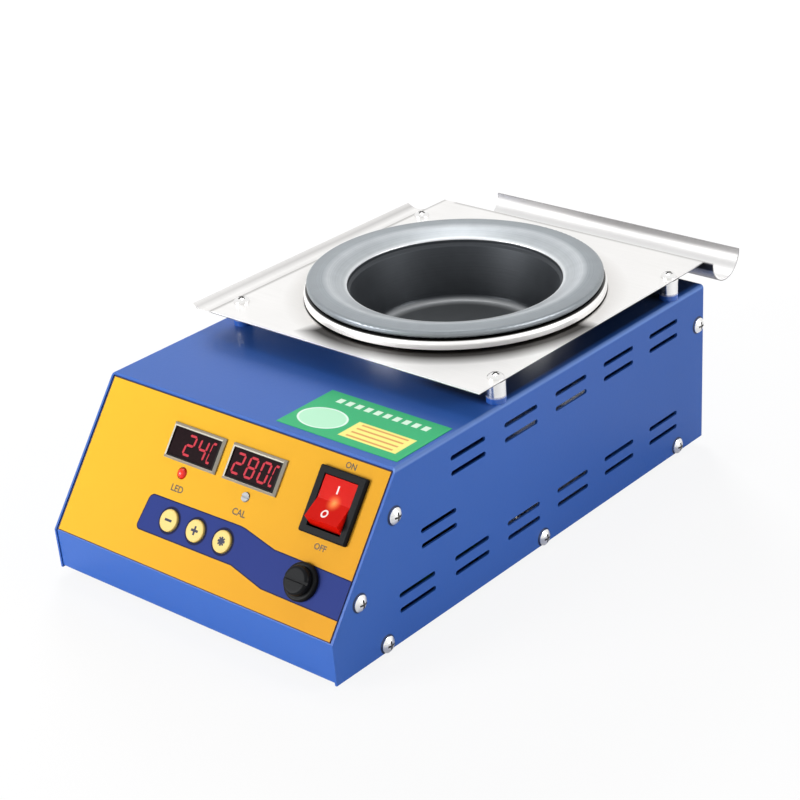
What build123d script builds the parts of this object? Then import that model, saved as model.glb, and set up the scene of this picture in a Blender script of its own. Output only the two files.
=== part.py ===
from build123d import *
import os
from math import atan2, cos, hypot, radians, sin, sqrt, tan

os.makedirs("parts", exist_ok=True)

# Housing: a folded chassis under an inverted U cover, sizes in millimetres
case_width = 165.0
case_depth = 269.0
case_height = 79.5
chin_height = 19.5
chin_lean = 0.9
slope_run = 44.5
sheet = 1.0
cover_bend = 1.8
chassis_bend = 1.8
seam_gap = 0.3
panel_reveal = 0.5
flange_width = 9.0
roof_flange = 14.0
cut_over = 4.0

# Feet that the whole case stands on
foot_height = 3.0
foot_radius = 8.0
foot_taper = 1.0
foot_inset = 20.0
foot_recess_depth = 1.5

# Stainless top plate with its left drip flange and rear dross gutter
steel = 0.8
overall_width = 173.0
drip_width = 11.5
gutter_overhang = 5.0
plate_rear_gap = 2.0
plate_depth = 171.5
plate_relief = 16.0
flange_sag = 1.4
flange_rise = 1.2
gutter_bore = 11.0
gutter_length = 144.0
plate_web = 14.25
collar_drop = 4.0
collar_bend = 2.0
standoff_height = 10.0
standoff_radius = 4.4
plate_screw_x_inset = 4.25
plate_screw_y_inset = 20.25

# Solder pot and the heater can that it hangs in
pot_offset = 0.55
pot_set_forward = 4.25
rim_overlap = 4.5
rim_thickness = 3.4
rim_crown = 0.4
rim_crown_width = 9.0
rim_crown_round = 12.0
rim_edge_round = 1.3
rim_width = 18.7
mouth_dip = 3.4
mouth_lip = 0.9
step_drop = 5.5
step_width = 1.3
step_round = 0.6
bowl_depth = 32.4
floor_taper = 7.3
floor_round = 3.5
under_round = 10.0
pot_wall = 3.0
ring_overlap = 6.0
ring_gap = 1.0
ring_skirt = 4.2
ring_bend = 1.4
pot_seat_gap = 0.3
can_gap = 2.5
can_depth = 42.0
can_bend = 3.0
band_thickness = 2.6
band_height = 21.0
band_top_gap = 4.0
band_gap = 6.0
heater_fit = 0.3
terminal_radius = 2.0
terminal_spacing = 18.0
terminal_drop = 6.0
probe_radius = 1.5
probe_tail = 10.0

# Bracket that carries the heater can on the chassis
bracket_width = 104.0
bracket_depth = 84.0
bracket_sheet = 1.5
bracket_foot = 13.0
bracket_bend = 1.8

# Control panel: places are across the case and up the slope
film = 0.3
film_margin = 0.4
display_width = 30.6
display_height = 16.0
display_proud = 1.7
display_bevel = 1.0
display_window_width = 26.8
display_window_height = 12.6
display_recess = 0.5
display_rise = 54.9
display_left_x = -20.9
display_right_x = 14.1
button_radius = 4.9
button_proud = 1.0
button_travel = 0.6
button_pitch = 15.8
button_first_x = -20.7
button_rise = 22.1
button_collar = 0.9
lamp_radius = 2.5
lamp_proud = 1.6
lamp_x = -23.4
lamp_rise = 42.8
trimmer_radius = 2.0
trimmer_proud = 0.6
trimmer_x = 14.3
slide_fit = 0.2

# Rocker switch
switch_x = 59.7
switch_rise = 52.3
switch_width = 25.2
switch_height = 28.6
switch_proud = 2.0
switch_depth = 20.0
switch_bezel = 3.1
rocker_width = 17.4
rocker_half = 9.6
rocker_crest = 5.0
rocker_angle = 12.0
rocker_keel = 7.2
rocker_flush = -0.5
rocker_foot_rise = 1.0
switch_corner = 0.9
switch_chamfer = 0.6
rocker_gap = 0.35
hinge_pin_radius = 1.5
hinge_pin_length = 1.6
pin_fit = 0.05

# Fuse holder
fuse_x = 57.3
fuse_rise = 18.8
fuse_flange_radius = 8.2
fuse_flange_thickness = 2.2
fuse_barrel_radius = 6.2
fuse_barrel_wall = 2.5
fuse_bore_radius = 4.6
fuse_edge_round = 1.0
fuse_nut_radius = 9.0
fuse_nut_thickness = 4.0
fuse_cap_radius = 6.3
fuse_cap_height = 3.0
fuse_cap_round = 1.6
fuse_cap_slot = 1.4
fuse_cap_slot_depth = 1.2
fuse_spigot_radius = 4.3
fuse_spigot_length = 7.0
fuse_clip_length = 5.0
fuse_glass_radius = 2.4
fuse_end_radius = 2.6
fuse_end_length = 5.0
fuse_length = 20.0
fuse_gap = 0.2
tag_width = 4.0
tag_thickness = 0.8
tag_length = 7.0

# Boards behind the panel and on the chassis floor
board = 1.6
panel_board_depth = 9.0
panel_board_width = 84.0
panel_board_height = 58.0
panel_board_x = -3.0
panel_board_rise = 38.0
post_radius = 2.5
post_inset = 4.0
tact_size = 6.0
tact_height = 3.4
tact_stem_radius = 1.6
tact_stem_height = 1.0
button_stem_radius = 2.0
lamp_collar = 0.5
lamp_leg_radius = 0.3
lamp_leg_pitch = 2.5
lamp_lift = 1.5
trimmer_body = 6.6
trimmer_body_height = 4.5
trimmer_pivot_radius = 1.4
trimmer_pivot_depth = 2.0
trimmer_slot = 0.7
trimmer_slot_depth = 0.6
control_board_x = 34.0
control_board_setback = 84.0
control_board_width = 76.0
control_board_length = 56.0
control_board_lift = 6.0
relay_width = 19.0
relay_length = 15.5
relay_height = 15.8
relay_x = 54.0
relay_setback = 98.0
block_width = 30.0
block_length = 10.0
block_height = 12.0
block_ways = 5
block_port_radius = 2.0
block_x = 26.0
block_setback = 105.0
sink_width = 26.0
sink_length = 14.0
sink_height = 28.0
sink_base = 3.0
sink_fin = 1.2
sink_fins = 6
sink_x = 16.0
sink_setback = 76.0
triac_width = 10.0
triac_height = 15.0
triac_thickness = 4.5
capacitor_radius = 6.0
capacitor_height = 14.0
capacitor_x = 38.0
capacitor_setback = 74.0
capacitor_round = 0.8

# Mains transformer for the control board
core_x = -42.0
core_setback = 88.0
core_width = 42.0
core_height = 35.0
core_stack = 18.0
core_window_width = 7.0
core_window_height = 21.0
coil_length = 30.0
coil_round = 4.0
coil_fit = 0.3

# Vent slots in the sides of the cover
slot_length = 23.1
slot_height = 2.3
slot_pitch = 36.4
slot_first = 53.2
slot_row_gap = 7.1
slot_low_rise = 18.2
slot_mid_rise = 41.2
slot_mid_setback = 68.7
slot_high_rise = 65.7
slot_columns = 6
floor_slot_length = 40.0
floor_slot_pitch = 9.0
floor_slots = 6

# Pan-head screws
screw_radius = 1.5
screw_fit = 0.1
head_radius = 3.7
head_height = 2.4
head_dome_share = 0.67
recess_width = 0.9
recess_length = 4.0
recess_share = 0.7
screw_length = 6.0
bottom_screw_rise = 3.6
side_screw_front = 17.6
side_screw_front_rise = 30.6
side_screw_upper = 41.5
side_screw_upper_rise = 59.5
side_screw_rear_inset = 4.6
bottom_screw_first = 32.5
bottom_screw_pitch = 107.4
side_screw_rear_rise = 60.4

# Top label
label_width = 66.0
label_depth = 35.5
label_x = 46.0
label_setback = 66.5
label_film = 0.2

# Mains inlet in the rear wall
inlet_x = -42.0
inlet_rise = 30.0
inlet_flange_width = 50.0
inlet_flange_height = 24.0
inlet_flange = 3.0
inlet_body_width = 27.4
inlet_body_height = 19.6
inlet_body_depth = 22.0
inlet_mouth_width = 24.4
inlet_mouth_height = 16.6
inlet_mouth_depth = 18.0
inlet_pin_length = 12.0
inlet_pin_width = 4.0
inlet_pin_thickness = 2.0
inlet_pin_pitch = 7.0
inlet_pin_step = 4.0
inlet_tail = 8.0
inlet_corner = 3.0
inlet_mouth_corner = 4.0
inlet_screw_pitch = 40.0
inlet_screw_length = 5.0

# Earth stud on the chassis floor
stud_x = -71.0
stud_setback = 235.0
stud_radius = 2.0
stud_height = 12.0
nut_radius = 4.0
nut_height = 3.2

# Places worked out from the sizes above
base_z = foot_height
floor_top = base_z + sheet
roof_z = base_z + case_height
chin_z = base_z + chin_height
plate_under = roof_z + standoff_height
plate_top = plate_under + steel
overall_depth = case_depth + plate_rear_gap + 2 * gutter_bore + steel
front_y = -overall_depth / 2
rear_y = front_y + case_depth
slope = atan2(case_height - chin_height, slope_run)
plate_left = overall_width / 2 - drip_width
plate_right = overall_width / 2 - gutter_overhang
plate_back = rear_y + plate_rear_gap
plate_front = plate_back - plate_depth
plate_half_width = (plate_left + plate_right) / 2
pot_x = plate_right - plate_half_width + pot_offset
pot_y = plate_back - plate_depth / 2 - pot_set_forward
hole_radius = plate_half_width - plate_web
rim_radius = hole_radius + rim_overlap
rim_crown_radius = rim_radius - rim_crown_width
mouth_radius = rim_radius - rim_width
floor_radius = mouth_radius - floor_taper
plate_screw_x = plate_half_width - plate_screw_x_inset
plate_screw_y = plate_depth / 2 - plate_screw_y_inset
ring_radius = hole_radius + ring_overlap
can_radius = hole_radius - can_gap
ring_under = plate_top + ring_gap
ring_top = ring_under + ring_skirt
rim_under = ring_top + pot_seat_gap
rim_top = rim_under + rim_thickness
bowl_floor = rim_top - bowl_depth
pot_under = bowl_floor - pot_wall
can_under = ring_top - can_depth
half_inside = case_width / 2 - sheet - seam_gap
roof_under = roof_z - sheet - seam_gap
chassis_front = front_y + panel_reveal
panel_foot_z = chin_z + (panel_reveal - panel_reveal / sin(slope)) * tan(slope)
panel_top_y = front_y + (roof_under - chin_z) / tan(slope) + panel_reveal / sin(slope)
panel_length = (roof_under - panel_foot_z) / sin(slope)
chassis_rear = rear_y - panel_reveal
panel = Plane(
    origin=(0, chassis_front, panel_foot_z),
    x_dir=(1, 0, 0),
    z_dir=(0, -sin(slope), cos(slope)),
)
rear_wall = Plane(origin=(0, chassis_rear, base_z), x_dir=(-1, 0, 0), z_dir=(0, 1, 0))
pot_axis_plane = Plane(origin=(pot_x, pot_y, 0), x_dir=(1, 0, 0), z_dir=(0, -1, 0))
pot_axis = Axis((pot_x, pot_y, 0), (0, 0, 1))
button_places = [(button_first_x + i * button_pitch, button_rise) for i in range(3)]
display_places = [(display_left_x, display_rise), (display_right_x, display_rise)]
trimmer_place = (trimmer_x, lamp_rise)
lamp_place = (lamp_x, lamp_rise)
switch_place = (switch_x, switch_rise)
fuse_place = (fuse_x, fuse_rise)
tact_top_depth = panel_board_depth - tact_height - tact_stem_height
button_stem_length = tact_top_depth - sheet - slide_fit - button_travel - pin_fit
display_slot_width = display_width - 2 * display_bevel
display_slot_height = display_height - 2 * display_bevel


def save(piece, name):
    """Label a finished piece and write it as its own file."""
    piece.part.label = name
    export_step(piece.part, f"parts/{name}.step")


def pan_screw(length, radius=screw_radius, head=head_radius, height=head_height):
    """One cross-recess screw: its head stands on +Z and its shank hangs below."""
    dome = height * head_dome_share
    with BuildPart() as screw:
        with BuildSketch(Plane.XZ):
            with BuildLine():
                Line((0, -length), (radius, -length))
                Line((radius, -length), (radius, 0))
                Line((radius, 0), (head, 0))
                Line((head, 0), (head, height - dome))
                RadiusArc((head, height - dome), (0, height), -(head**2 + dome**2) / (2 * dome))
                Line((0, height), (0, -length))
            make_face()
        revolve(axis=Axis.Z)
        with BuildSketch(Plane.XY.offset(height)):
            Rectangle(recess_length, recess_width)
            Rectangle(recess_width, recess_length)
        extrude(amount=-recess_share * height, mode=Mode.SUBTRACT)
    return screw.part


def side_outline():
    """The five-sided outline of the case seen from its right side."""
    return [
        (front_y + chin_lean, base_z),
        (front_y, chin_z),
        (front_y + slope_run, roof_z),
        (rear_y, roof_z),
        (rear_y, base_z),
    ]


def chassis_strip(depth):
    """Folded strip seen from the side: rear lip, back, floor, chin, slope and front lip."""
    outline = [
        (chassis_rear - roof_flange, roof_under),
        (chassis_rear, roof_under),
        (chassis_rear, base_z),
        (chassis_front + chin_lean, base_z),
        (chassis_front, panel_foot_z),
        (panel_top_y, roof_under),
        (panel_top_y + roof_flange, roof_under),
    ]
    with BuildSketch() as strip:
        with BuildLine():
            FilletPolyline(*outline, radius=chassis_bend)
            offset(amount=depth, side=Side.RIGHT)
        make_face()
    return strip.sketch


def panel_openings():
    """Every opening in the sloped panel, in the panel's own plane."""
    with BuildSketch() as openings:
        with Locations(*display_places):
            Rectangle(display_slot_width, display_slot_height)
        with Locations(*button_places):
            Circle(button_radius + slide_fit)
        with Locations(lamp_place):
            Circle(lamp_radius + slide_fit)
        with Locations(trimmer_place):
            Circle(trimmer_radius + slide_fit)
        with Locations(switch_place):
            Rectangle(switch_inner_width, switch_inner_height)
        with Locations(fuse_place):
            Circle(fuse_barrel_radius + slide_fit)
    return openings.sketch


switch_inner_width = switch_width - switch_bezel
switch_inner_height = switch_height - switch_bezel

side_screw_spots = [
    (front_y + side_screw_front, base_z + side_screw_front_rise),
    (front_y + side_screw_upper, base_z + side_screw_upper_rise),
    (rear_y - side_screw_rear_inset, base_z + side_screw_rear_rise),
    (front_y + bottom_screw_first, base_z + bottom_screw_rise),
    (front_y + bottom_screw_first + bottom_screw_pitch, base_z + bottom_screw_rise),
    (front_y + bottom_screw_first + 2 * bottom_screw_pitch, base_z + bottom_screw_rise),
]
standoff_spots = [
    (pot_x + i * plate_screw_x, pot_y + j * plate_screw_y) for i in (-1, 1) for j in (-1, 1)
]
foot_spots = {
    "front_left": (-case_width / 2 + foot_inset, front_y + foot_inset),
    "front_right": (case_width / 2 - foot_inset, front_y + foot_inset),
    "rear_left": (-case_width / 2 + foot_inset, rear_y - foot_inset),
    "rear_right": (case_width / 2 - foot_inset, rear_y - foot_inset),
}
slot_rows = [(slot_low_rise, range(slot_columns)), (slot_high_rise, range(1, slot_columns))]
slot_spots = [
    (front_y + slot_first + i * slot_pitch, base_z + rise + j * slot_row_gap / 2)
    for rise, columns in slot_rows
    for i in columns
    for j in (-1, 1)
]
slot_spots += [
    (front_y + slot_mid_setback, base_z + slot_mid_rise + j * slot_row_gap / 2) for j in (-1, 1)
]
board_spots = [
    (
        control_board_x + i * (control_board_width / 2 - post_inset),
        front_y + control_board_setback + j * (control_board_length / 2 - post_inset),
    )
    for i in (-1, 1)
    for j in (-1, 1)
]
panel_post_spots = [
    (
        panel_board_x + i * (panel_board_width / 2 - post_inset),
        panel_board_rise + j * (panel_board_height / 2 - post_inset),
    )
    for i in (-1, 1)
    for j in (-1, 1)
]
inlet_spot = (-inlet_x, inlet_rise)
bracket_screw_spots = [
    (
        pot_x + i * (bracket_width + bracket_foot) / 2,
        pot_y + j * (bracket_depth / 2 - bracket_foot),
    )
    for i in (-1, 1)
    for j in (-1, 1)
]
screw_hole = screw_radius + screw_fit
switch_top = film + switch_proud
pivot_level = switch_top + rocker_flush - rocker_crest * cos(radians(rocker_angle))
rocker_tip = rocker_crest + rocker_half * tan(radians(rocker_angle))
tip_reach = hypot(rocker_half, rocker_tip)
tip_low_angle = atan2(rocker_tip, rocker_half) - radians(rocker_angle)
well_half = tip_reach * cos(tip_low_angle)
rocker_foot = (well_half - rocker_foot_rise * sin(radians(rocker_angle))) / cos(radians(rocker_angle))
well_length = 2 * (well_half + rocker_gap)
well_width = rocker_width + 2 * rocker_gap
cap_seat = film + fuse_flange_thickness + fuse_gap
clip_top = cap_seat - fuse_spigot_length - fuse_gap
fuse_top = clip_top - fuse_gap
fuse_bottom = fuse_top - fuse_length
bore_bottom = fuse_bottom - fuse_gap
barrel_bottom = bore_bottom - fuse_barrel_wall
band_top = rim_under - band_top_gap
band_under = band_top - band_height
wall_slope = (mouth_radius - floor_radius) / (rim_under - mouth_dip - pot_under)


def wall_radius(z):
    """Outside radius of the pot's tapered wall at a height."""
    return floor_radius + pot_wall + wall_slope * (z - pot_under)


def bracket_section():
    """Hat section of the bracket: a foot, a leg, the bridge, a leg and a foot."""
    half = bracket_width / 2
    foot_face = floor_top + bracket_sheet
    with BuildSketch() as section:
        with BuildLine():
            FilletPolyline(
                (-half - bracket_foot, foot_face),
                (-half, foot_face),
                (-half, can_under),
                (half, can_under),
                (half, foot_face),
                (half + bracket_foot, foot_face),
                radius=bracket_bend,
            )
            offset(amount=bracket_sheet, side=Side.RIGHT)
        make_face()
    return section.sketch


pin_spots = [
    (inlet_spot[0] + i * inlet_pin_pitch, inlet_spot[1] + rise * inlet_pin_step / 2)
    for i, rise in ((-1, -1), (0, 1), (1, -1))
]
blanket_radius = can_radius - steel - heater_fit
terminal_ring = wall_radius(band_under) + band_thickness
terminal_y = pot_y + sqrt(terminal_ring**2 - (terminal_spacing / 2) ** 2)
terminal_spots = [(pot_x + i * terminal_spacing / 2, terminal_y) for i in (-1, 1)]
cup_floor = can_under + steel

# Cover: roof and both sides are one sheet, bent along its two top edges
with BuildPart() as housing_cover:
    with BuildSketch(Plane.XZ.offset(-rear_y)):
        with Locations((0, base_z)):
            Rectangle(case_width, case_height, align=(Align.CENTER, Align.MIN))
        fillet(vertices().group_by(Axis.Y)[-1], radius=cover_bend)
        with Locations((0, base_z - cut_over)):
            Rectangle(
                case_width - 2 * sheet,
                case_height - sheet + cut_over,
                align=(Align.CENTER, Align.MIN),
                mode=Mode.SUBTRACT,
            )
        fillet(
            vertices().filter_by_position(Axis.Y, roof_z - 2 * sheet, roof_z - sheet / 2),
            radius=cover_bend - sheet,
        )
    extrude(amount=case_depth)
    with BuildSketch(Plane.YZ):
        Polygon(*side_outline(), align=None)
    extrude(amount=case_width, both=True, mode=Mode.INTERSECT)
    with BuildSketch(Plane.YZ):
        with Locations(*slot_spots):
            SlotOverall(slot_length, slot_height)
        with Locations(*side_screw_spots):
            Circle(screw_hole)
    extrude(amount=case_width, both=True, mode=Mode.SUBTRACT)
    with BuildSketch(Plane.XY.offset(roof_z)):
        with Locations((pot_x, pot_y)):
            Circle(hole_radius)
        with Locations(*standoff_spots):
            Circle(screw_hole)
    extrude(amount=-cut_over, mode=Mode.SUBTRACT)
save(housing_cover, "housing_cover")

# Chassis: floor, chin, sloped front, back and screw flanges are one folded sheet
with BuildPart() as base_chassis:
    with BuildSketch(Plane.YZ):
        add(chassis_strip(sheet))
    extrude(amount=half_inside, both=True)
    for side in (-1, 1):
        with BuildSketch(Plane.YZ.offset(side * half_inside)):
            add(chassis_strip(flange_width))
            with Locations(*side_screw_spots):
                Circle(screw_hole, mode=Mode.SUBTRACT)
        extrude(amount=-side * sheet)
    with BuildSketch(panel.offset(cut_over)):
        add(panel_openings())
    extrude(amount=-2 * cut_over, mode=Mode.SUBTRACT)
    with BuildSketch(Plane.XY.offset(base_z)):
        with Locations(*foot_spots.values(), *bracket_screw_spots):
            Circle(screw_hole)
        with Locations((control_board_x, front_y + control_board_setback)):
            with GridLocations(floor_slot_pitch, 0, floor_slots, 1):
                SlotOverall(floor_slot_length, slot_height, rotation=90)
    extrude(amount=cut_over, mode=Mode.SUBTRACT)
    with BuildSketch(rear_wall.offset(cut_over)):
        with Locations(inlet_spot):
            Rectangle(inlet_body_width + slide_fit, inlet_body_height + slide_fit)
            with GridLocations(inlet_screw_pitch, 0, 2, 1):
                Circle(screw_hole)
    extrude(amount=-2 * cut_over, mode=Mode.SUBTRACT)
save(base_chassis, "base_chassis")

# Four rubber feet, each with its screw sunk in a recess
for corner, spot in foot_spots.items():
    with BuildPart() as rubber_foot:
        with BuildSketch():
            with Locations(spot):
                Circle(foot_radius)
                Circle(screw_hole, mode=Mode.SUBTRACT)
        extrude(amount=foot_height)
        fillet(rubber_foot.edges().group_by(Axis.Z)[0].sort_by(SortBy.RADIUS)[-1], radius=foot_taper)
        with BuildSketch():
            with Locations(spot):
                Circle(head_radius + slide_fit)
        extrude(amount=foot_recess_depth, mode=Mode.SUBTRACT)
    save(rubber_foot, f"foot_{corner}")

foot_screw = pan_screw(foot_height - foot_recess_depth + 2 * sheet, height=foot_recess_depth - slide_fit)
foot_screw_seats = [Plane((x, y, foot_recess_depth), (1, 0, 0), (0, 0, -1)) for x, y in foot_spots.values()]
with BuildPart() as foot_screws:
    with Locations(*foot_screw_seats):
        add(foot_screw)
save(foot_screws, "foot_screws")

# Side screws, one set for each side of the cover
side_screw = pan_screw(screw_length)
for name, side in (("cover_screws_right", 1), ("cover_screws_left", -1)):
    with BuildPart() as cover_screws:
        with Locations(
            *[Plane((side * case_width / 2, y, z), (0, 1, 0), (side, 0, 0)) for y, z in side_screw_spots]
        ):
            add(side_screw)
    save(cover_screws, name)

# Printed film on the slope, cut out for everything that comes through it
with BuildPart() as panel_overlay:
    with BuildSketch(panel):
        with Locations((0, panel_length / 2)):
            Rectangle(2 * (half_inside - film_margin), panel_length - 2 * film_margin)
        add(panel_openings(), mode=Mode.SUBTRACT)
    extrude(amount=film)
save(panel_overlay, "panel_overlay")

# Two digit modules behind silver bezels
for name, spot in zip(("left", "right"), display_places):
    with BuildPart() as bezel:
        with BuildSketch(panel.offset(film)):
            with Locations(spot):
                Rectangle(display_width, display_height)
        extrude(amount=display_proud)
        chamfer(
            bezel.faces().sort_by(Axis(panel.origin, panel.z_dir))[-1].edges(), length=display_bevel
        )
        with BuildSketch(panel.offset(film)):
            with Locations(spot):
                Rectangle(display_slot_width - 2 * slide_fit, display_slot_height - 2 * slide_fit)
        extrude(amount=-(film + 2 * sheet))
        with BuildSketch(panel.offset(film + display_proud)):
            with Locations(spot):
                Rectangle(display_window_width, display_window_height)
        extrude(amount=-panel_board_depth, mode=Mode.SUBTRACT)
    save(bezel, f"{name}_display_bezel")

    with BuildPart() as digits:
        with BuildSketch(panel.offset(-panel_board_depth)):
            with Locations(spot):
                Rectangle(display_window_width - slide_fit, display_window_height - slide_fit)
        extrude(amount=panel_board_depth + film + display_proud - display_recess)
    save(digits, f"{name}_display")

# Push buttons, each a cap with a collar behind the panel and a stem to its switch
for name, spot in zip(("minus_button", "plus_button", "set_button"), button_places):
    with BuildPart() as button:
        with BuildSketch(panel.offset(-sheet - slide_fit)):
            with Locations(spot):
                Circle(button_radius)
        extrude(amount=sheet + slide_fit + film + button_proud)
        fillet(
            button.faces().sort_by(Axis(panel.origin, panel.z_dir))[-1].edges(), radius=button_proud / 2
        )
        with BuildSketch(panel.offset(-sheet - slide_fit)):
            with Locations(spot):
                Circle(button_radius + button_collar)
        extrude(amount=-button_collar)
        with BuildSketch(panel.offset(-sheet - slide_fit)):
            with Locations(spot):
                Circle(button_stem_radius)
        extrude(amount=-button_stem_length)
    save(button, name)

with BuildPart() as tact_switches:
    with BuildSketch(panel.offset(-panel_board_depth)):
        with Locations(*button_places):
            Rectangle(tact_size, tact_size)
    extrude(amount=tact_height)
    with BuildSketch(panel.offset(-panel_board_depth + tact_height)):
        with Locations(*button_places):
            Circle(tact_stem_radius)
    extrude(amount=tact_stem_height)
save(tact_switches, "tact_switches")

# Indicator lamp with its dome through the panel
with BuildPart() as indicator_lamp:
    with BuildSketch(panel.offset(-panel_board_depth + lamp_lift)):
        with Locations(lamp_place):
            Circle(lamp_radius)
    extrude(amount=panel_board_depth - lamp_lift + film + lamp_proud)
    fillet(
        indicator_lamp.faces().sort_by(Axis(panel.origin, panel.z_dir))[-1].edges(),
        radius=lamp_radius - pin_fit,
    )
    with BuildSketch(panel.offset(-panel_board_depth + lamp_lift)):
        with Locations(lamp_place):
            Circle(lamp_radius + lamp_collar)
    extrude(amount=2 * lamp_collar)
    with BuildSketch(panel.offset(-panel_board_depth)):
        with Locations(lamp_place):
            with GridLocations(lamp_leg_pitch, 0, 2, 1):
                Circle(lamp_leg_radius)
    extrude(amount=lamp_lift)
save(indicator_lamp, "indicator_lamp")

# Trimmer: a square body on the board and a slotted rotor that turns in it
with BuildPart() as trimmer_base:
    with BuildSketch(panel.offset(-panel_board_depth)):
        with Locations(trimmer_place):
            Rectangle(trimmer_body, trimmer_body)
    extrude(amount=trimmer_body_height)
    with BuildSketch(panel.offset(-panel_board_depth + trimmer_body_height)):
        with Locations(trimmer_place):
            Circle(trimmer_pivot_radius + pin_fit)
    extrude(amount=-trimmer_pivot_depth - pin_fit, mode=Mode.SUBTRACT)
save(trimmer_base, "trimmer_base")

with BuildPart() as trimmer_rotor:
    with BuildSketch(panel.offset(-panel_board_depth + trimmer_body_height)):
        with Locations(trimmer_place):
            Circle(trimmer_pivot_radius)
    extrude(amount=-trimmer_pivot_depth)
    with BuildSketch(panel.offset(-panel_board_depth + trimmer_body_height + pin_fit)):
        with Locations(trimmer_place):
            Circle(trimmer_radius)
    extrude(amount=panel_board_depth - trimmer_body_height - pin_fit + film + trimmer_proud)
    with BuildSketch(panel.offset(-panel_board_depth + trimmer_body_height)):
        with Locations(trimmer_place):
            Circle(trimmer_pivot_radius)
    extrude(amount=pin_fit)
    with BuildSketch(panel.offset(film + trimmer_proud)):
        with Locations(trimmer_place):
            Rectangle(2 * trimmer_radius, trimmer_slot)
    extrude(amount=-trimmer_slot_depth, mode=Mode.SUBTRACT)
save(trimmer_rotor, "trimmer_rotor")

# Board behind the panel, on four posts
with BuildPart() as panel_board:
    with BuildSketch(panel.offset(-panel_board_depth)):
        with Locations((panel_board_x, panel_board_rise)):
            Rectangle(panel_board_width, panel_board_height)
    extrude(amount=-board)
save(panel_board, "panel_board")

with BuildPart() as panel_posts:
    with BuildSketch(panel.offset(-sheet)):
        with Locations(*panel_post_spots):
            RegularPolygon(post_radius, 6)
    extrude(amount=-(panel_board_depth - sheet))
save(panel_posts, "panel_posts")

# Rocker switch: bezel and body in one, hollow for the rocker
rocker_plane = Plane(
    origin=panel.from_local_coords((switch_x, switch_rise, pivot_level)),
    x_dir=(0, cos(slope), sin(slope)),
    z_dir=(1, 0, 0),
)
tilted_plane = Plane(
    origin=rocker_plane.origin,
    x_dir=(0, cos(slope - radians(rocker_angle)), sin(slope - radians(rocker_angle))),
    z_dir=(1, 0, 0),
)
with BuildPart() as switch_body:
    with BuildSketch(panel.offset(film)):
        with Locations(switch_place):
            RectangleRounded(switch_width, switch_height, switch_corner)
    extrude(amount=switch_proud)
    chamfer(
        switch_body.faces().sort_by(Axis(panel.origin, panel.z_dir))[-1].edges(), length=switch_chamfer
    )
    with BuildSketch(panel.offset(film)):
        with Locations(switch_place):
            Rectangle(switch_inner_width - 2 * slide_fit, switch_inner_height - 2 * slide_fit)
    extrude(amount=-switch_depth)
    with BuildSketch(panel.offset(switch_top)):
        with Locations(switch_place):
            Rectangle(well_width, well_length)
    extrude(amount=-(switch_top - pivot_level + rocker_keel + rocker_gap), mode=Mode.SUBTRACT)
    with BuildSketch(rocker_plane):
        Circle(hinge_pin_radius + pin_fit)
    extrude(amount=rocker_width / 2 + hinge_pin_length + pin_fit, both=True, mode=Mode.SUBTRACT)
save(switch_body, "switch_body")

with BuildPart() as switch_rocker:
    with BuildSketch(tilted_plane):
        with BuildLine():
            Polyline(
                (-rocker_keel, 0),
                (-rocker_foot, rocker_foot_rise),
                (-rocker_half, rocker_tip),
                (0, rocker_crest),
                (rocker_half, rocker_tip),
                (rocker_foot, rocker_foot_rise),
                (rocker_keel, 0),
            )
            ThreePointArc((rocker_keel, 0), (0, -rocker_keel), (-rocker_keel, 0))
        make_face()
    extrude(amount=rocker_width / 2, both=True)
    with BuildSketch(rocker_plane):
        Circle(hinge_pin_radius)
    extrude(amount=rocker_width / 2 + hinge_pin_length, both=True)
save(switch_rocker, "switch_rocker")

with BuildPart() as switch_tags:
    with BuildSketch(panel.offset(film - switch_depth)):
        with Locations(switch_place):
            with GridLocations(switch_inner_width / 2, switch_inner_height / 2, 2, 2):
                Rectangle(tag_width, tag_thickness)
    extrude(amount=-tag_length)
save(switch_tags, "switch_tags")

# Fuse holder: flanged barrel, hexagon nut behind the panel, tags at its end
with BuildPart() as fuse_holder:
    with BuildSketch(panel.offset(film)):
        with Locations(fuse_place):
            Circle(fuse_flange_radius)
    extrude(amount=fuse_flange_thickness)
    fillet(
        fuse_holder.faces().sort_by(Axis(panel.origin, panel.z_dir))[-1].edges(), radius=fuse_edge_round
    )
    with BuildSketch(panel.offset(film)):
        with Locations(fuse_place):
            Circle(fuse_barrel_radius)
    extrude(amount=barrel_bottom - film)
    with BuildSketch(panel.offset(film + fuse_flange_thickness)):
        with Locations(fuse_place):
            Circle(fuse_bore_radius)
    extrude(amount=bore_bottom - film - fuse_flange_thickness, mode=Mode.SUBTRACT)
save(fuse_holder, "fuse_holder")

with BuildPart() as fuse_nut:
    with BuildSketch(panel.offset(-sheet)):
        with Locations(fuse_place):
            RegularPolygon(fuse_nut_radius, 6)
            Circle(fuse_barrel_radius + pin_fit, mode=Mode.SUBTRACT)
    extrude(amount=-fuse_nut_thickness)
save(fuse_nut, "fuse_nut")

with BuildPart() as fuse_tag:
    with BuildSketch(panel.offset(barrel_bottom)):
        with Locations(fuse_place):
            Rectangle(tag_width, tag_thickness)
    extrude(amount=-tag_length)
save(fuse_tag, "fuse_tag")

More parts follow.
